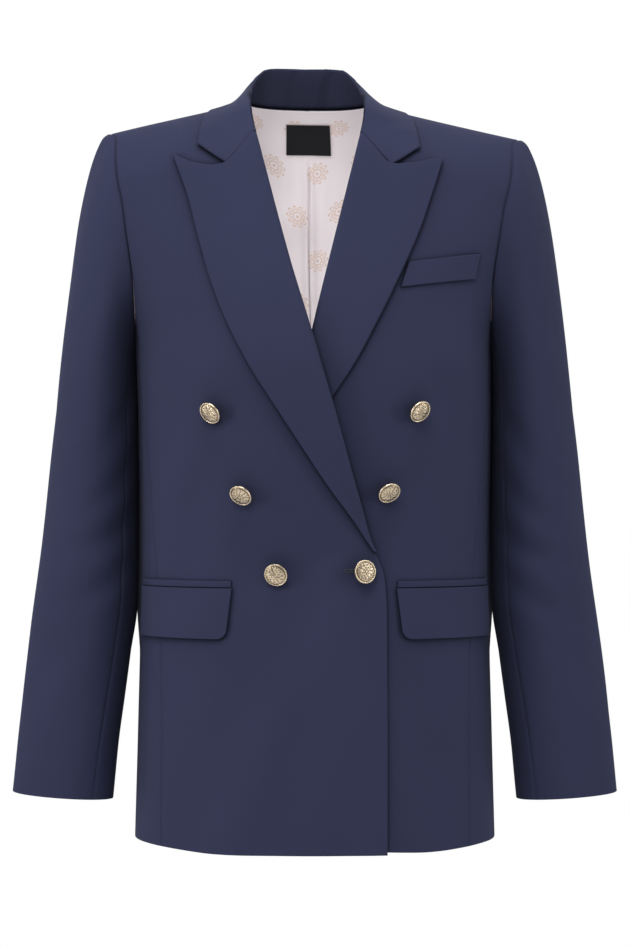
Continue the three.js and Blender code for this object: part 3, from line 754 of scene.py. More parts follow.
def suiting():
    """Smooth navy twill with a faint sheen, with painted shade in its colour in creases, under edges
    and on the collar stand.
    """
    g = Graph("navy_twill")
    u, v = g.uv()
    place = g.place()
    broad = g.noise(9, 3, place)
    fibres = g.noise(1400, 4, place)
    base = g.mix(broad, srgb(46, 49, 73), srgb(51, 54, 80))
    colour = g.mix(g.math("MULTIPLY", fibres, 0.24), base, srgb(66, 71, 101))
    # Painted shade on the collar stand, which would lie in shadow inside the neck.
    stand = g.node("ShaderNodeAttribute", attribute_name="stand", output=2)
    colour = g.mix(g.math("MULTIPLY", stand, 0.6), colour, srgb(24, 23, 34))
    # Painted shade: the colour darkens in creases, under raised edges and between parts, by ambient
    # occlusion over 6 mm and 45 mm.
    for distance, shade_depth in ((0.006, 1.0), (0.045, 0.8)):
        open_sky = g.node("ShaderNodeAmbientOcclusion", {"Distance": distance}, 1, samples=3)
        closed = g.math("MULTIPLY", g.math("SUBTRACT", 1.0, open_sky), shade_depth)
        colour = g.mix(closed, colour, srgb(14, 15, 24))
    diagonal = g.math("ADD", u, g.math("MULTIPLY", v, 1.35))
    ribs = g.math("SINE", g.math("MULTIPLY", diagonal, 2 * math.pi / 0.00075))
    height = g.math("ADD", g.math("MULTIPLY", ribs, 0.35), fibres)
    g.bump(height, 0.00006)
    g.set(
        Base_Color=colour, Roughness=0.85, Sheen_Weight=0.06, Sheen_Roughness=0.5,
        Sheen_Tint=(0.55, 0.6, 0.95, 1), Specular_IOR_Level=0.12,
    )
    return g.material


def petals(g, u, v, pitch, shift, count, size):
    """Distance from the nearest motif of a brick layout, and its petals' edge that way."""
    row = g.math("FLOOR", g.math("DIVIDE", v, pitch))
    odd = g.math("MULTIPLY", g.math("MODULO", g.math("ABSOLUTE", row), 2.0), 0.5 * pitch)
    across = g.math("ADD", g.math("ADD", u, odd), shift)
    x = g.math("SUBTRACT", g.math("FRACT", g.math("DIVIDE", across, pitch)), 0.5)
    y = g.math("SUBTRACT", g.math("FRACT", g.math("DIVIDE", v, pitch)), 0.5)
    x = g.math("MULTIPLY", x, pitch)
    y = g.math("MULTIPLY", y, pitch)
    far = g.math("SQRT", g.math("ADD", g.math("MULTIPLY", x, x), g.math("MULTIPLY", y, y)))
    turn = g.math("ARCTAN2", y, x)
    wave = g.math("ABSOLUTE", g.math("COSINE", g.math("MULTIPLY", turn, count / 2)))
    edge = g.math("MULTIPLY", g.math("ADD", g.math("MULTIPLY", wave, 0.42), 0.58), size)
    return far, edge


def near(g, value, target, wide):
    """1 where value is within wide of target, with soft ends."""
    off = g.math("ABSOLUTE", g.math("SUBTRACT", value, target))
    return g.node(
        "ShaderNodeMapRange",
        {"Value": off, "From Min": wide, "From Max": wide * 0.5, "To Min": 0.0, "To Max": 1.0},
    )


def lining():
    """Pale satin with small woven blossoms, with painted shade in its colour in folds and where
    other parts come close.
    """
    g = Graph("lining_satin")
    u, v = g.uv()
    place = g.place()
    far, edge = petals(g, u, v, 0.044, 0.013, 10, 0.0105)
    outline = near(g, far, edge, 0.0008)
    inner = near(g, far, g.math("MULTIPLY", edge, 0.72), 0.0006)
    ring = near(g, far, 0.0042, 0.0006)
    heart = near(g, far, 0.0, 0.0018)
    motif = g.math("MAXIMUM", g.math("MAXIMUM", outline, ring), g.math("MAXIMUM", inner, heart))
    tone = g.mix(g.noise(14, 2, place), srgb(226, 216, 219), srgb(234, 226, 229))
    colour = g.mix(g.math("MULTIPLY", motif, 0.75), tone, srgb(206, 164, 126))
    # Painted shade: the colour darkens in folds and where other parts come close, by ambient
    # occlusion over 6 mm.
    open_sky = g.node("ShaderNodeAmbientOcclusion", {"Distance": 0.006}, 1, samples=3)
    colour = g.mix(open_sky, srgb(120, 96, 92), colour)
    ribs = g.math("SINE", g.math("MULTIPLY", u, 2 * math.pi / 0.0006))
    g.bump(g.math("ADD", g.math("MULTIPLY", ribs, 0.4), g.noise(900, 3, place)), 0.00004)
    g.set(
        Base_Color=colour, Roughness=0.42, Sheen_Weight=0.2, Sheen_Roughness=0.4,
        Specular_IOR_Level=0.45,
    )
    return g.material


def label_weave():
    """Dense dark ribbon weave."""
    g = Graph("label_weave")
    along = g.uv()[1]
    ribs = g.math("SINE", g.math("MULTIPLY", along, 2 * math.pi / 0.0007))
    fibres = g.noise(1800, 4, g.place())
    colour = g.mix(fibres, srgb(9, 10, 13), srgb(22, 23, 28))
    g.bump(g.math("ADD", ribs, fibres), 0.00006)
    g.set(Base_Color=colour, Roughness=0.7, Sheen_Weight=0.05, Specular_IOR_Level=0.2)
    return g.material


def thread(name, dark, light):
    """Twisted sewing thread."""
    g = Graph(name)
    fibres = g.noise(3000, 3, g.place())
    g.bump(fibres, 0.00005)
    g.set(Base_Color=g.mix(fibres, dark, light), Roughness=0.6, Sheen_Weight=0.4)
    return g.material


def brass():
    """Antique light gold, darker in the hollows of its relief."""
    g = Graph("antique_brass")
    hollow = g.node("ShaderNodeAttribute", attribute_name="hollow", output=2)
    wear = g.noise(500, 4, g.place())
    metal = g.mix(wear, srgb(228, 206, 172), srgb(246, 230, 204))
    colour = g.mix(g.math("MULTIPLY", hollow, 0.95), metal, srgb(86, 66, 44))
    rough = g.math("ADD", g.math("MULTIPLY", wear, 0.14), 0.2)
    g.bump(g.noise(2500, 3, g.place()), 0.00003)
    g.set(Base_Color=colour, Metallic=1.0, Roughness=rough)
    return g.material


NAVY = suiting()
SATIN = lining()
RIBBON = label_weave()
THREAD = thread("navy_thread", srgb(24, 26, 40), srgb(40, 43, 64))
BRASS = brass()


# Body panels

def seam_x(t, face):
    top = armhole_point(FRONT_SEAM_TURN if face < 0 else BACK_SEAM_TURN)[0]
    z = lerp(top[2], HEM_Z, t)
    path = front_seam_x if face < 0 else back_seam_x
    return path(z) + (top[0] - path(top[2])) * (1 - smooth(t * 2))


def ruled(face, start, end, t):
    """Rows across a front or back piece, kept level with the ridge near it."""
    sx, sz = start[:, :1], start[:, 1:]
    ex, ez = end[:, :1], end[:, 1:]
    share = np.clip(1 - (ridge_z(ex) - ez) / FRONT_ROUND, 0, 1)
    x = lerp(sx, ex, t)
    level = lerp(ridge_z(sx), ridge_z(ex), t)
    z = lerp(sz, ez, t) + (ridge_z(x) - level) * share
    return body_point(x, z, face)


def pairs(x, z):
    return np.stack(np.broadcast_arrays(np.asarray(x, float), np.asarray(z, float)), -1)


def lower_steps():
    """Shares of the way from the armhole's seams down to the hem."""
    return spread(SEAM_TOP_Z - HEM_Z, PANEL_STEP, first=False)[1:]


def roll_inset(z):
    """The front piece stops short of the roll line, where the lapel turns round its edge."""
    return 4.5 * smooth((z + 436) / 40) * smooth(-z / 36)


def front_grid():
    turns = lerp(0, FRONT_SEAM_TURN, spread(260, PANEL_STEP, last=False))
    arm = armhole_point(turns)
    seam_top = arm[-1, 2]
    share = (SHOULDER_Z - arm[:, 2]) / (SHOULDER_Z - seam_top)
    z = seam_top * share
    z[0] = ridge_z(NECK_SIDE_X)
    x = front_edge_x(z)
    x[0] = NECK_SIDE_X
    t = lower_steps()
    low_z = lerp(seam_top, HEM_Z, t)
    low_x = front_edge_x(low_z) + roll_inset(low_z)
    start = np.concatenate([pairs(x + roll_inset(z), z), pairs(low_x, low_z)])
    end = np.concatenate([arm[:, [0, 2]], pairs(seam_x(t, -1), low_z)])
    return ruled(-1, start, end, spread(170, PANEL_STEP))


def back_grid():
    turns = lerp(360, BACK_SEAM_TURN, spread(260, PANEL_STEP, last=False))
    arm = armhole_point(turns)
    seam_top = arm[-1, 2]
    down = (360 - turns) / (360 - BACK_SEAM_TURN)
    neck = np.minimum(down / NECK_SHARE, 1)
    x = NECK_SIDE_X * np.cos(np.radians(90 * neck))
    z = np.where(down <= NECK_SHARE, 0, seam_top * (down - NECK_SHARE) / (1 - NECK_SHARE))
    z[0] = ridge_z(NECK_SIDE_X)
    t = lower_steps()
    low_z = lerp(seam_top, HEM_Z, t)
    start = np.concatenate([pairs(x, z), pairs(0, low_z)])
    end = np.concatenate([arm[:, [0, 2]], pairs(seam_x(t, 1), low_z)])
    return ruled(1, start, end, spread(150, PANEL_STEP))


def side_grid():
    span = spread(130, PANEL_STEP)
    top = armhole_point(lerp(FRONT_SEAM_TURN, BACK_SEAM_TURN, span))
    turns = turn_at(top[:, 0], top[:, 2], np.where(top[:, 1] < 0, -1, 1))
    share = (turns - turns[0]) / (turns[-1] - turns[0])
    t = np.concatenate([[0, 0.0004, 0.001, 0.002, 0.0035], lower_steps()])[:, None]
    z = lerp(top[None, :, 2], HEM_Z, t)
    first = turn_at(seam_x(t, -1), lerp(top[0, 2], HEM_Z, t), -1)
    last = turn_at(seam_x(t, 1), lerp(top[-1, 2], HEM_Z, t), 1)
    grid = around_point(lerp(first, last, share), z)
    grid[0] = top
    return grid


def on_body(grid, side, over, face, lift):
    """The grid at a distance off the body, creases and overlap taken in."""
    out = body_normal(grid)
    away = lift + body_relief(grid[..., 0] * side, grid[..., 2], face)
    if over:
        away = away + over_lift(grid[..., 0], grid[..., 2])
    return grid + out * np.asarray(away)[..., None]


def add_front(name, side, over):
    grid = front_grid()
    if not over:
        near_edge = 1 - smooth((grid[..., 0] - 40) / 90)
        grid[..., 2] += UNDER_HEM_SHORT * near_edge * smooth((-560 - grid[..., 2]) / 150)
    far = border_distances(grid)
    thick = lerp(DOUBLED, PANEL, smooth(far["start"] / 14))
    middle = on_body(grid, side, over, -1, -thick / 2)
    inner = (far["start"] > FACING_WIDE) & (far["bottom"] > HEM_TURN_UP)
    piece = add_cloth(
        f"front_{name}_cloth", middle, thick, ["start", "bottom"], ["top", "end"],
        [NAVY, SATIN], inner, side, out_sign=-1,
    )
    finish_cloth(f"front_{name}")


def add_side(name, side):
    grid = side_grid()
    out = body_normal(grid)
    far = border_distances(grid)
    share = far["start"] / (far["start"] + far["end"])
    inside = smooth(np.minimum(far["start"], far["end"]) / 18)
    front = body_relief(grid[..., 0] * side, grid[..., 2], -1)
    back = body_relief(grid[..., 0] * side, grid[..., 2], 1)
    relief = lerp(front, back, smooth(share)) * (1 - 0.75 * inside)
    gap = arm_gap(grid[..., 2])
    swell = (gap + 1.5 * smooth(gap / 1.5)) * np.exp(-(((grid[..., 1] - 22) / 20) ** 2))
    relief = relief + swell * inside
    middle = grid + out * (relief - PANEL / 2)[..., None]
    inner = far["bottom"] > HEM_TURN_UP
    piece = add_cloth(
        f"side_{name}_cloth", middle, PANEL, ["bottom"], ["top", "start", "end"],
        [NAVY, SATIN], inner, side, out_sign=-1,
    )
    finish_cloth(f"side_{name}")


def add_back(name, side):
    grid = back_grid()
    middle = on_body(grid, side, False, 1, -PANEL / 2)
    inner = border_distances(grid)["bottom"] > HEM_TURN_UP
    piece = add_cloth(
        f"back_{name}_cloth", middle, PANEL, ["bottom"], ["top", "start", "end"],
        [NAVY, SATIN], inner, side,
    )
    finish_cloth(f"back_{name}")


def lining_grid():
    """Rows level across the back, from the neck seam to just above the hem."""
    z = lerp(1.2, HEM_Z + 16, spread(690, 5))
    arm = armhole_point(np.linspace(360, BACK_SEAM_TURN, 80))
    arm_x = np.interp(-z, -arm[:, 2], arm[:, 0])
    share = np.clip((arm[-1, 2] - z) / (arm[-1, 2] - HEM_Z), 0, 1)
    side_x = np.where(z > arm[-1, 2], arm_x, seam_x(share, 1))
    ridge_x = NECK_SIDE_X - 4 + np.maximum(SHOULDER_LINE_AT_NECK - z - 9, 0) / -SHOULDER_SLOPE
    end = np.minimum(side_x - 7, ridge_x)
    return body_point(end[:, None] * spread(150, 3)[None, :], z[:, None], 1)


def add_lining(name, side):
    """Back lining, with a soft pleat along its middle seam."""
    grid = lining_grid()
    x, z = grid[..., 0], grid[..., 2]
    pleat = 2.4 * np.exp(-((x - 3) / 2.2) ** 2) + 0.8 * np.exp(-((x - 14) / 5) ** 2)
    waves = 1.5 * np.sin(x / 9 + 0.9 * np.sin(z / 60 + 2 * side)) * smooth((-z - 50) / 90)
    away = body_relief(x * side, z, 1) - LINING_AWAY - LINING - 1.2 - pleat * smooth((-z - 40) / 25)
    middle = grid + body_normal(grid) * (away + waves)[..., None]
    piece = add_cloth(
        f"lining_back_{name}_cloth", middle, LINING, ["top", "bottom", "end"], ["start"],
        [SATIN], None, side,
    )
    finish_cloth(f"lining_back_{name}")


# Lapels and collar

def lapel_stray(t, over):
    """How far the seam from gorge to notch and peak strays from a straight line."""
    rows = over_top_rows if over else under_top_rows
    at = [row["t"] for row in rows]
    made = []
    for key in ("x", "z"):
        path = np.interp(t, at, [row[key] for row in rows])
        made.append(path - lerp(rows[0][key], rows[-1][key], t))
    return made


def add_lapel(name, side, over):
    kind = "over" if over else "under"
    edge_x = column(lapel_rows, "roll_z", kind + "_x")
    edge_z = column(lapel_rows, "roll_z", kind + "_z")
    first = GORGE_START[1]
    last = -434 if over else UNDER_LAPEL_END_Z
    roll_z = lerp(first, last, spread(first - last, 4))
    roll_x = front_edge_x(roll_z)
    roll_x[0] = GORGE_START[0]
    bend = np.maximum(1 - (first - roll_z) / NOTCH_BEND_REACH, 0)[:, None]
    wide = np.hypot(edge_x(roll_z) - roll_x, edge_z(roll_z) - roll_z)[:, None]
    ease = smooth((wide - 4) / 24)
    t = spread(90, 3, first=False)[None, :]
    tuck = -math.inf if over else (-front_edge_x(roll_z) - UNDER_LAPEL_TUCK)[:, None]
    start_x = np.maximum(roll_x[:, None], tuck)
    x = lerp(start_x, edge_x(roll_z)[:, None], t)
    share = (x - roll_x[:, None]) / (edge_x(roll_z) - roll_x)[:, None]
    z = lerp(roll_z[:, None], edge_z(roll_z)[:, None], share)
    stray_x, stray_z = lapel_stray(t, over)
    base = body_point(x + stray_x * bend, z + stray_z * bend, -1)
    out = body_normal(base)
    lift = body_relief(base[..., 0] * side, base[..., 2], -1)
    if over:
        lift = lift + over_lift(base[..., 0], base[..., 2])
    low = smooth((-roll_z - 150) / 180)[:, None]
    roll = (1.6 + 2.6 * low if over else 1.0) * ease * (1 - smooth(t * wide / 34))
    edge = (2.0 + 1.4 * low if over else 2.0 * (1 - low)) * ease * smooth(t * wide / 70)
    bulge = roll + edge
    top = lift + LAY_GAP + DOUBLED / 2 + bulge
    edge_in = unit(base[:, 1:2] - base[:, :1])
    normal = out[:, :1]
    under = lift[:, :1] - PANEL - 0.3 - FACING / 2
    radius = (top[:, :1] - under) / 2
    back_off = (radius + DOUBLED / 2) * ease + 0.6 * (1 - ease)
    fall = base + out * top[..., None]
    shift = np.exp(-((t * wide) / 9) ** 2)
    fall = fall + edge_in * (back_off * shift)[..., None]
    swing = np.radians(np.array([22, 45, 67, 90, 112, 135, 157, 180]))[None, :]
    centre = base[:, :1] + edge_in * back_off[..., None] + normal * (top[:, :1] - radius)[..., None]
    arc = (
        centre
        - edge_in * (radius * np.sin(swing) * ease)[..., None]
        + normal * (radius * np.cos(swing))[..., None]
    )
    tail = np.array([2, 5])[None, :, None] * edge_in + arc[:, -1:]
    middle = np.concatenate([tail[:, ::-1], arc[:, ::-1], fall], axis=1)
    thick = np.concatenate([
        np.full((len(roll_z), 2), FACING),
        np.broadcast_to(lerp(DOUBLED, FACING, swing / math.pi)[:, ::-1], arc.shape[:2]),
        np.full(fall.shape[:2], DOUBLED),
    ], axis=1)
    piece = add_cloth(
        f"lapel_{name}_cloth", middle, thick, ["top", "bottom", "start", "end"], [],
        [NAVY], None, side, out_sign=-1,
    )
    finish_cloth(f"lapel_{name}")


def refined(grid, rows, columns):
    """A smooth surface through a coarse grid of points."""
    def along(g, count):
        n = len(g)
        at = np.linspace(0, n - 1, count)
        i = np.minimum(at.astype(int), n - 2)
        t = (at - i).reshape(-1, *[1] * (g.ndim - 1))
        p0, p1, p2, p3 = (g[np.clip(i + k, 0, n - 1)] for k in (-1, 0, 1, 2))
        return 0.5 * (
            2 * p1 + (p2 - p0) * t + (2 * p0 - 5 * p1 + 4 * p2 - p3) * t ** 2
            + (3 * p1 - p0 - 3 * p2 + p3) * t ** 3
        )
    return along(along(grid, rows).swapaxes(0, 1), columns).swapaxes(0, 1)


def collar_line(seam, fold, edge, order):
    out = unit(np.array([edge[0] - seam[0], edge[1] - seam[1], 0]))
    stand = [lerp(seam, fold, t) for t in STAND_STEPS]
    crown = fold + out * FOLD_ROUND * 0.5 + np.array([0, 0, FOLD_ROUND * 0.25])
    shoulder = fold + out * FOLD_ROUND * 1.6
    sag = COLLAR_SAG * math.exp(-((order - COLLAR_SIDE_ORDER) / 2) ** 2)
    front = smooth((order - 6) / 3)
    edge_away = lerp(COLLAR_EDGE_AWAY, COLLAR_AWAY + COLLAR_EDGE_LIFT, front)
    fall = []
    for t in FALL_STEPS:
        p = lerp(shoulder, edge, t) - np.array([0, 0, sag * math.sin(math.pi * t)])
        fall.append(stand_off(p[None], lerp(COLLAR_AWAY, edge_away, t), t < 1)[0])
    return np.array([*stand, crown, *fall])


def collar_end():
    """Front end of the collar: round the roll, then along the gorge seam and up to the tip."""
    def path(t, k):
        if t < 0.5:
            return lerp(GORGE_START[k], COLLAR_NOTCH[k], t * 2)
        return lerp(COLLAR_NOTCH[k], COLLAR_TIP[k], t * 2 - 1)
    made = []
    for inset, away in ROLL_ROUND:
        p = body_point(GORGE_START[0] + inset, GORGE_START[1], -1)
        made.append(p + body_normal(p) * away)
    for t in FALL_STEPS:
        p = body_point(path(t, 0), path(t, 1), -1)
        made.append(p + body_normal(p) * (COLLAR_AWAY + COLLAR_EDGE_LIFT * t))
    return np.array(made)


def add_collar():
    for order, row in enumerate(collar_rows):
        row["order"] = order
    read = {name: column(collar_rows, "order", name) for name in collar_rows[0] if name != "order"}
    lines = []
    for order in np.linspace(0, len(collar_rows) - 1, COLLAR_STATIONS + 1):
        face = 1 if order < COLLAR_SIDE_ORDER else -1
        seam = body_point(read["seam_x"](order), read["seam_z"](order), face)
        seam = seam + body_normal(seam) * LAY_GAP / 2 + np.array([0, 0, LAY_GAP / 2])
        fold = np.array([read["fold_" + k](order) for k in "xyz"])
        edge = np.array([read["edge_" + k](order) for k in "xyz"])
        lines.append(collar_line(seam, fold, edge, order))
    end = collar_end()
    near_end = lines[-1]
    stand = len(ROLL_ROUND)
    for share in (0.35, 0.7):
        line = lerp(near_end, end, share)
        line[stand:] = stand_off(line[stand:], COLLAR_AWAY, True)
        lines.append(line)
    lines.append(end)
    half = np.array(lines)
    coarse = np.concatenate([half[:0:-1] * np.array([-1, 1, 1]), half])
    outer = refined(coarse, 260, 66)
    place = np.linspace(0, coarse.shape[1] - 1, outer.shape[1])
    to_edge = smooth((place - place[-1] + 2) / 2)
    to_back = 1 - smooth((np.abs(np.linspace(-1, 1, len(outer))) - 0.6) / 0.25)
    thick = DOUBLED - (DOUBLED - COLLAR_EDGE_THICK) * to_edge[None, :] * to_back[:, None]
    on_stand = 1 - smooth(place - 2.2)
    wrinkles = np.zeros(thick.shape)
    along = np.linspace(0, 1, len(outer))[:, None]
    down = place[None, :] / place[-1]
    for row in stand_wrinkles:
        off = along - row["along"] - row["lean"] * down
        wrinkles += row["deep"] * np.exp(-((off / row["wide"]) ** 2)) * on_stand[None, :]
    middle = outer + grid_normals(outer) * (thick / 2 + wrinkles)[..., None]
    piece = add_cloth(
        "collar_cloth", middle, thick, ["top", "bottom", "start", "end"], [], [NAVY],
        out_sign=-1,
    )
    # The stand's share, read by the navy cloth to paint shade on the collar stand.
    stand = np.tile(on_stand, outer.shape[0] * 2)
    piece.data.attributes.new("stand", "FLOAT", "POINT").data.foreach_set("value", stand)
    finish_cloth("collar")


# Sleeves

def ring_point(degrees, z):
    turn = np.radians(degrees)
    middle = (sleeve["out"](z) + sleeve["inner"](z)) / 2
    half = (sleeve["out"](z) - sleeve["inner"](z)) / 2
    slant = CUFF_SLANT * ((RING_TOP_Z - z) / (RING_TOP_Z - CUFF_Z)) * np.cos(turn)
    return points(
        middle + half * np.cos(turn), sleeve["y"](z) - sleeve["deep"](z) * np.sin(turn), z + slant
    )


def ring_turn(arm_turn, z):
    down = (RING_TOP_Z - z) / (RING_TOP_Z - CUFF_Z)
    fore = lerp(*FOREARM_TURN, down)
    hind = lerp(*HINDARM_TURN, down)
    before = arm_turn * (fore / FRONT_SEAM_TURN)
    after = 360 - (360 - arm_turn) * ((360 - hind) / (360 - BACK_SEAM_TURN))
    share = (arm_turn - FRONT_SEAM_TURN) / (BACK_SEAM_TURN - FRONT_SEAM_TURN)
    under = lerp(fore, hind, share)
    behind = np.where(arm_turn >= BACK_SEAM_TURN, after, under)
    return np.where(arm_turn <= FRONT_SEAM_TURN, before, behind)


def sleeve_grid(turns):
    """Points of the sleeve, rows down from the armhole, columns at these armhole turns."""
    start = armhole_point(np.mod(turns, 360.0001)) - np.array([SLEEVE_TUCK, 0, 0])
    end = ring_point(ring_turn(turns, RING_TOP_Z), RING_TOP_Z)
    high = (1 + np.cos(np.radians(turns))) / 2
    zero = np.zeros_like(high)
    drop = (start[:, 2] - end[:, 2]) * 0.77
    leave = start + points(HEAD_OUT * high, zero, -UNDERARM_DOWN * (1 - high))
    arrive = end + points(-0.088 * drop * high, zero, drop)
    t = spread(200, 4, last=False)[:, None, None]
    cap = (
        (1 - t) ** 3 * start + 3 * t * (1 - t) ** 2 * leave
        + 3 * t ** 2 * (1 - t) * arrive + t ** 3 * end
    )
    z = lerp(RING_TOP_Z, CUFF_Z, spread(368, 4, first=False)[1:])[:, None]
    arm = ring_point(ring_turn(turns[None, :], z), z)
    return np.concatenate([cap, arm])


def sleeve_relief(turns, grid, side):
    """Creases round the arm, other ones on each side."""
    z = grid[..., 2] + (6 if side > 0 else -7)
    shift = 5 if side > 0 else -4
    total = np.zeros(z.shape)
    for row in sleeve_creases:
        a = (np.mod(turns[None, :] - row["turn"] + shift + 180, 360) - 180) * 0.85
        placed = dict(row, turn=0)
        total += creased([placed], np.broadcast_to(a, z.shape), z, ("turn", "z"))
    calm = smooth((SHOULDER_Z - 40 - grid[..., 2]) / 60) * smooth((grid[..., 2] + 690) / 40)
    wave = uneven(grid[..., 0] * side * 1.3 + grid[..., 1], grid[..., 2], 0.5)
    return (total + wave) * calm


def add_sleeve(name, side):
    top_turns = np.concatenate([
        lerp(BACK_SEAM_TURN, 360, spread(180, 4, last=False))[:-1],
        lerp(360, 360 + FRONT_SEAM_TURN, spread(180, 4, first=False)),
    ])
    under_turns = lerp(FRONT_SEAM_TURN, BACK_SEAM_TURN, spread(120, 4))
    for part, turns, flat, area in (
        ("top", top_turns, (0.26, 0.66), 0.131),
        ("under", under_turns, (0.10, 0.47), 0.035),
    ):
        own = np.where(turns > 360, turns - 360, turns)
        grid = sleeve_grid(own)
        out = grid_normals(grid)
        relief = sleeve_relief(own, grid, side)
        head = np.exp(-((border_distances(grid)["top"] - 9) / 7) ** 2)
        high = (1 + np.cos(np.radians(own))) / 2
        relief = relief + 0.6 * head * high ** 3
        inward = np.exp(-(((own - 176) / 26) ** 2))
        gap = arm_gap(grid[..., 2])
        relief = relief * (1 - 0.8 * inward) + np.maximum(0.5 * gap - 0.3, 0) * inward
        middle = grid + out * (relief - PANEL / 2)[..., None]
        inner = border_distances(grid)["bottom"] > HEM_TURN_UP
        piece = add_cloth(
            f"sleeve_{part}_{name}_cloth", middle, PANEL, ["bottom"], ["top", "start", "end"],
            [NAVY, SATIN], inner, side,
        )
        finish_cloth(f"sleeve_{part}_{name}")


# Pockets

def around_body(z, from_x, lengths_mm):
    """Points across the front and side pieces at these heights, by length round the body."""
    fine = np.linspace(0, 1, 400)
    first = turn_at(from_x, z, -1)
    path = around_point(lerp(first[:, None], 0.6, fine), z[:, None])
    far = lengths(path, 1)
    made = []
    for row, at, want in zip(path, far, lengths_mm):
        made.append(np.stack([np.interp(want, at, row[:, k]) for k in range(3)], -1))
    return np.array(made)


def pocket_piece(name, node, grid, side, over, low, thick, droop):
    relief = body_relief(grid[..., 0] * side, grid[..., 2], -1)
    fade = smooth((grid[..., 0] - 120) / 40)
    lift = relief * (1 - fade * 0.5) + np.abs(relief) * fade * 0.5
    if over:
        lift = lift + over_lift(grid[..., 0], grid[..., 2])
    middle = grid + body_normal(grid) * (lift + low + thick / 2 + droop)[..., None]
    piece = add_cloth(
        name, middle, thick, ["top", "bottom", "start", "end"], [], [NAVY], None, side,
        out_sign=-1,
    )
    finish_cloth(node)


def add_flap(name, side, over):
    tall = FLAP["top_z"] - FLAP["bottom_z"]
    down = spread(tall, 2.5)
    z = lerp(FLAP["top_z"], FLAP["bottom_z"], down)
    up = np.maximum(FLAP["corner"] - (1 - down) * tall, 0)
    inset = FLAP["corner"] - np.sqrt(np.maximum(FLAP["corner"] ** 2 - up ** 2, 0))
    inset = inset + FLAP["slant"] * down
    across = spread(FLAP["length"], 3)
    wanted = across[None, :] * (FLAP["length"] - inset)[:, None]
    grid = around_body(z, FLAP["front_x"] + inset, wanted)
    droop = 1.3 * smooth(down / 0.9)[:, None] * (0.7 + 0.3 * np.sin(across * 7 + side))[None, :]
    pocket_piece(
        f"flap_{name}_cloth", f"flap_{name}", grid, side, over, 0.5, 2.2, droop
    )


def add_jet(name, side, over):
    z = lerp(JET["top_z"], JET["bottom_z"], spread(JET["top_z"] - JET["bottom_z"] + 6, 1))
    wanted = np.tile(spread(JET["length"], 3) * JET["length"], (len(z), 1))
    grid = around_body(z, np.full(len(z), JET["front_x"]), wanted)
    pocket_piece(
        f"jet_{name}_cloth", f"jet_{name}", grid, side, over, 0.1, 1.4, 0
    )


def add_welt():
    down = spread(WELT["height"], 2)[:, None]
    across = spread(WELT["length"], 3)[None, :]
    front = WELT["front_x"] + WELT["front_lean"] * down
    x = lerp(front, WELT["back_x"] + WELT["back_lean"] * down, across)
    z = lerp(WELT["front_z"], WELT["back_z"], across) - WELT["height"] * down
    grid = body_point(x, z, -1)
    pocket_piece(
        "breast_welt_cloth", "breast_welt", grid, 1, False, 0.2, 1.8, 0
    )


def add_label():
    down = spread(LABEL["top_z"] - LABEL["bottom_z"], 2)[:, None]
    across = spread(LABEL["width"], 2)[None, :]
    x = lerp(-LABEL["width"] / 2, LABEL["width"] / 2, across)
    z = lerp(LABEL["top_z"], LABEL["bottom_z"], down)
    grid = body_point(x, z, 1)
    away = -(LINING_AWAY + 1 + LABEL["gap"] + 0.5)
    middle = grid + body_normal(grid) * away
    piece = add_cloth(
        "neck_label_cloth", middle, 0.8, ["top", "bottom", "start", "end"], [], [RIBBON]
    )
    finish_cloth("neck_label")


# Buttonhole and stitches

def lay_on_front(x, z, side, over, away):
    """Points on the front at own places, this far above its cloth."""
    base = body_point(x, z, -1)
    lift = body_relief(x * side, z, -1) + away
    if over:
        lift = lift + over_lift(x, z)
    return (base + body_normal(base) * lift[..., None]) * np.array([side, 1, 1])


def add_threads(name, lines, radius):
    """One mesh of round threads, each along its own line of points."""
    sides = 6
    vertices, quads = [], []
    turn = np.arange(sides) * 2 * math.pi / sides
    for line in lines:
        along = unit(np.gradient(line, axis=0))
        across = unit(np.cross(along, np.array([0.1, 1, 0.2])))
        up = np.cross(along, across)
        taper = np.ones(len(line))
        taper[[0, -1]] = 0.35
        ring = across[:, None] * np.cos(turn)[:, None] + up[:, None] * np.sin(turn)[:, None]
        first = sum(len(v) for v in vertices)
        vertices.append((line[:, None] + ring * (radius * taper)[:, None, None]).reshape(-1, 3))
        index = first + np.arange(len(line) * sides).reshape(-1, sides)
        after = np.roll(index, -1, axis=1)
        faces = np.stack([index[:-1], after[:-1], after[1:], index[1:]], -1).reshape(-1, 4)
        quads += [tuple(q) for q in faces.tolist()]
        quads += [tuple(index[0][::-1].tolist()), tuple(index[-1].tolist())]
    mesh = smooth_mesh(name, settled(np.concatenate(vertices)), quads, THREAD)
    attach(add_object(name, mesh), ROOT)


def add_buttonhole():
    """Worked buttonhole beside the fastened button, a row of small stitches on each lip."""
    lines = []
    for x in np.arange(BUTTONHOLE["from_x"], BUTTONHOLE["to_x"], BUTTONHOLE["step"]):
        for lip in (-1, 1):
            z = BUTTONHOLE["z"] + lip * np.linspace(0.35, 1.7, 4)
            away = np.array([0.05, 0.35, 0.35, 0.05])
            lines.append(lay_on_front(np.full(4, -x), z, -1, True, away))
    add_threads("buttonhole_stitches", lines, 0.32)


def add_welt_stitches():
    """Small pick stitches down the outer end of the breast welt."""
    lines = []
    for down in np.linspace(0.08, 0.92, 9):
        x = WELT["back_x"] + WELT["back_lean"] * down - 2.6
        z = WELT["back_z"] - WELT["height"] * down
        at = np.array([0, 0.5, 1.1, 1.6])
        away = np.array([2.0, 2.25, 2.25, 2.0])
        lines.append(lay_on_front(x - 0.2 * at, z - at, 1, False, away))
    add_threads("breast_welt_stitches", lines, 0.28)


# Buttons

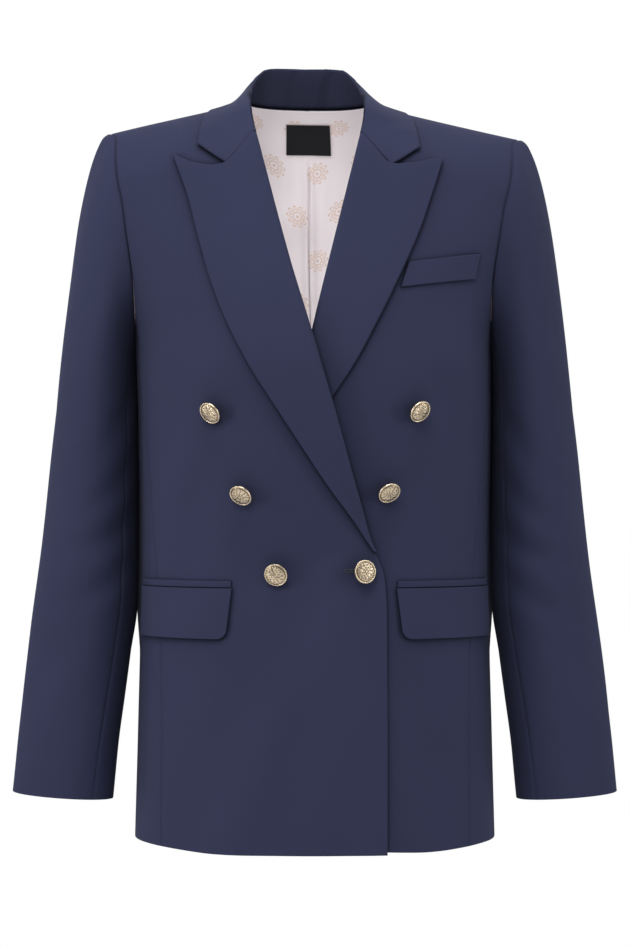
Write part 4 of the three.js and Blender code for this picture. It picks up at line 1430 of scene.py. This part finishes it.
def button_face(r, turn):
    """Height of the domed face with its rope rim and rosette, and how deep in a hollow it is."""
    dome = 2.2 + 1.4 * (1 - (np.minimum(r, 10) / 10) ** 2)
    rope = np.sqrt(np.clip(1 - ((r - 10.75) / 0.75) ** 2, 0, 1))
    strands = 0.5 + 0.5 * np.sin(34 * turn + (r - 10.75) * 3.2)
    relief = rope * (0.42 + 0.25 * strands)
    relief = relief + 0.16 * np.exp(-((r - 9.4) / 0.3) ** 2) * (0.6 + 0.4 * np.cos(44 * turn))
    for count, low, high, shift, size in ROSETTE:
        ring = np.clip(np.sin(np.pi * (r - low) / (high - low)), 0, 1)
        ring = np.where((r > low) & (r < high), ring, 0)
        petal = np.abs(np.cos(count / 2 * (turn + shift))) ** 0.7
        vein = 1 - 0.4 * np.exp(-((petal - 1) / 0.03) ** 2)
        relief = relief + size * ring * petal * vein
    relief = relief + 0.38 * np.sqrt(np.clip(1 - (r / 1.3) ** 2, 0, 1))
    shape = np.where(r > 10, 1.75 + relief, dome + relief)
    hollow = 1 - np.clip(relief / 0.4, 0, 1)
    return shape, hollow * np.clip((11.2 - r) / 0.8, 0, 1)


def button_form(number, row):
    """Points and faces of one button where it hangs, and how deep in a hollow each point is."""
    right = row["x"] < 0
    over = right or number == 6
    own = abs(row["x"])
    base = body_point(own, row["z"], -1)
    normal = body_normal(base)
    lift = body_relief(row["x"], np.array(row["z"]), -1)
    if over:
        lift = lift + over_lift(-own if number == 6 else own, row["z"])
    flip = np.array([-1 if right else 1, 1, 1])
    away = math.sqrt(1 - row["face_x"] ** 2 - row["face_z"] ** 2)
    axis = Vector((row["face_x"], -away, row["face_z"]))
    lean = math.sin(math.acos(min(axis.dot(Vector(normal * flip)), 1)))
    base = base + normal * (lift + SHANK_R * lean)
    place = settled(base * flip)
    rows = [(0.01, 0), (SHANK_R, 0), (SHANK_R, 3), (SHANK_R, SHANK_LENGTH - 0.2)]
    rows += [(4, SHANK_LENGTH), (BUTTON_R - 1.2, SHANK_LENGTH), (BUTTON_R - 0.3, SHANK_LENGTH + 0.4)]
    rows += [(BUTTON_R, SHANK_LENGTH + 1)]
    face = np.concatenate([[11.42, 11.3, 11.1], np.linspace(10.9, 0.02, 52)])
    sides = 160
    around = np.linspace(0, 2 * np.pi, sides, endpoint=False)
    height, hollow = button_face(face[:, None], around[None, :])
    r = np.concatenate([np.array([p[0] for p in rows]), face * FACE_SHRINK])[:, None]
    low = np.broadcast_to(np.array([p[1] for p in rows])[:, None], (len(rows), sides))
    high = np.concatenate([low, SHANK_LENGTH + height])
    made = points(r * np.cos(around), r * np.sin(around), high)
    basis = axis.to_track_quat("Z", "Y").to_matrix() @ Matrix.Rotation(number * 0.7, 3, "Z")
    vertices = made.reshape(-1, 3) @ np.array(basis).T + place
    index = np.arange(len(vertices)).reshape(-1, sides)
    after = np.roll(index, -1, axis=1)
    quads = np.stack([index[:-1], after[:-1], after[1:], index[1:]], -1).reshape(-1, 4)
    faces = quads.tolist() + [index[0][::-1].tolist(), index[-1].tolist()]
    return vertices, faces, np.concatenate([np.zeros(low.size), hollow.ravel()])


def add_button(number, row):
    vertices, faces, hollow = button_form(number, row)
    name = f"button_{number}_brass"
    mesh = smooth_mesh(name, vertices, faces, BRASS)
    mesh.attributes.new("hollow", "FLOAT", "POINT").data.foreach_set("value", hollow)
    piece = add_object(name, mesh)
    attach(piece, ROOT)
    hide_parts(f"button_{number}")


for name, side, over in (("right", -1, True), ("left", 1, False)):
    add_front(name, side, over)
    add_side(name, side)
    add_back(name, side)
    add_lining(name, side)
    add_lapel(name, side, over)
    add_sleeve(name, side)
    add_flap(name, side, over)
    add_jet(name, side, over)
add_collar()
add_welt()
add_label()
add_buttonhole()
add_welt_stitches()
for number, row in enumerate(button_rows, 1):
    add_button(number, row)


# Floor, light and camera

def add_floor():
    mesh = bpy.data.meshes.new("floor")
    half, z = 3.0, -1.5
    corners = [(-half, -half, z), (half, -half, z), (half, half, z), (-half, half, z)]
    mesh.from_pydata(corners, [], [(0, 1, 2, 3)])
    g = Graph("pale_floor")
    tone = g.mix(g.noise(3, 2, g.place()), (0.80, 0.80, 0.80, 1), (0.84, 0.84, 0.84, 1))
    g.set(Base_Color=tone, Roughness=0.9)
    mesh.materials.append(g.material)
    add_object("floor", mesh)


def add_light(name, place, target, size, power):
    light = bpy.data.lights.new(name, "AREA")
    light.shape = "RECTANGLE"
    light.size, light.size_y = size
    light.energy = power
    made = add_object(name, light)
    made.location = place
    made.rotation_euler = (Vector(target) - Vector(place)).to_track_quat("-Z", "Y").to_euler()
    made.visible_camera = False


add_floor()
middle = (0, 0, -0.36)
add_light("key", (-0.4, -1.6, 1.2), middle, (0.8, 0.6), 15)
add_light("right", (1.8, -0.9, -0.1), middle, (0.6, 1.4), 11.5)
add_light("left", (-1.8, -0.9, -0.1), middle, (0.6, 1.4), 15)
add_light("above", (0, -0.6, 1.5), middle, (1.4, 0.9), 14)
add_light("behind", (0, 2.8, 0.8), middle, (2.4, 2.0), 36)
add_light("inside", (-0.006, -0.02, -0.15), (-0.006, 0.1, -0.15), (0.07, 0.26), 0.13)


def add_world():
    """White behind the object, and round it a soft light that is weaker from below."""
    world = bpy.data.worlds.new("studio")
    world.use_nodes = True
    tree = world.node_tree
    where = tree.nodes.new("ShaderNodeTexCoord")
    split = tree.nodes.new("ShaderNodeSeparateXYZ")
    tree.links.new(where.outputs["Generated"], split.inputs[0])
    height = tree.nodes.new("ShaderNodeMapRange")
    height.inputs["From Min"].default_value = -1.0
    height.inputs["To Min"].default_value = 0.08
    height.inputs["To Max"].default_value = 0.42
    tree.links.new(split.outputs["Z"], height.inputs["Value"])
    path = tree.nodes.new("ShaderNodeLightPath")
    seen = tree.nodes.new("ShaderNodeMapRange")
    seen.inputs["To Max"].default_value = 1.0
    tree.links.new(height.outputs[0], seen.inputs["To Min"])
    tree.links.new(path.outputs["Is Camera Ray"], seen.inputs["Value"])
    tree.links.new(seen.outputs[0], tree.nodes["Background"].inputs["Strength"])
    tree.nodes["Background"].inputs["Color"].default_value = (1, 1, 1, 1)
    bpy.context.scene.world = world


add_world()
bpy.context.scene.view_settings.view_transform = "Standard"

camera_data = bpy.data.cameras.new("camera")
camera_data.lens = 111.7
camera_data.sensor_width = 36
camera = add_object("camera", camera_data)
camera.location = (0.0007, -2.85, -0.36)
camera.rotation_euler = (math.radians(90), 0, 0)
bpy.context.scene.camera = camera
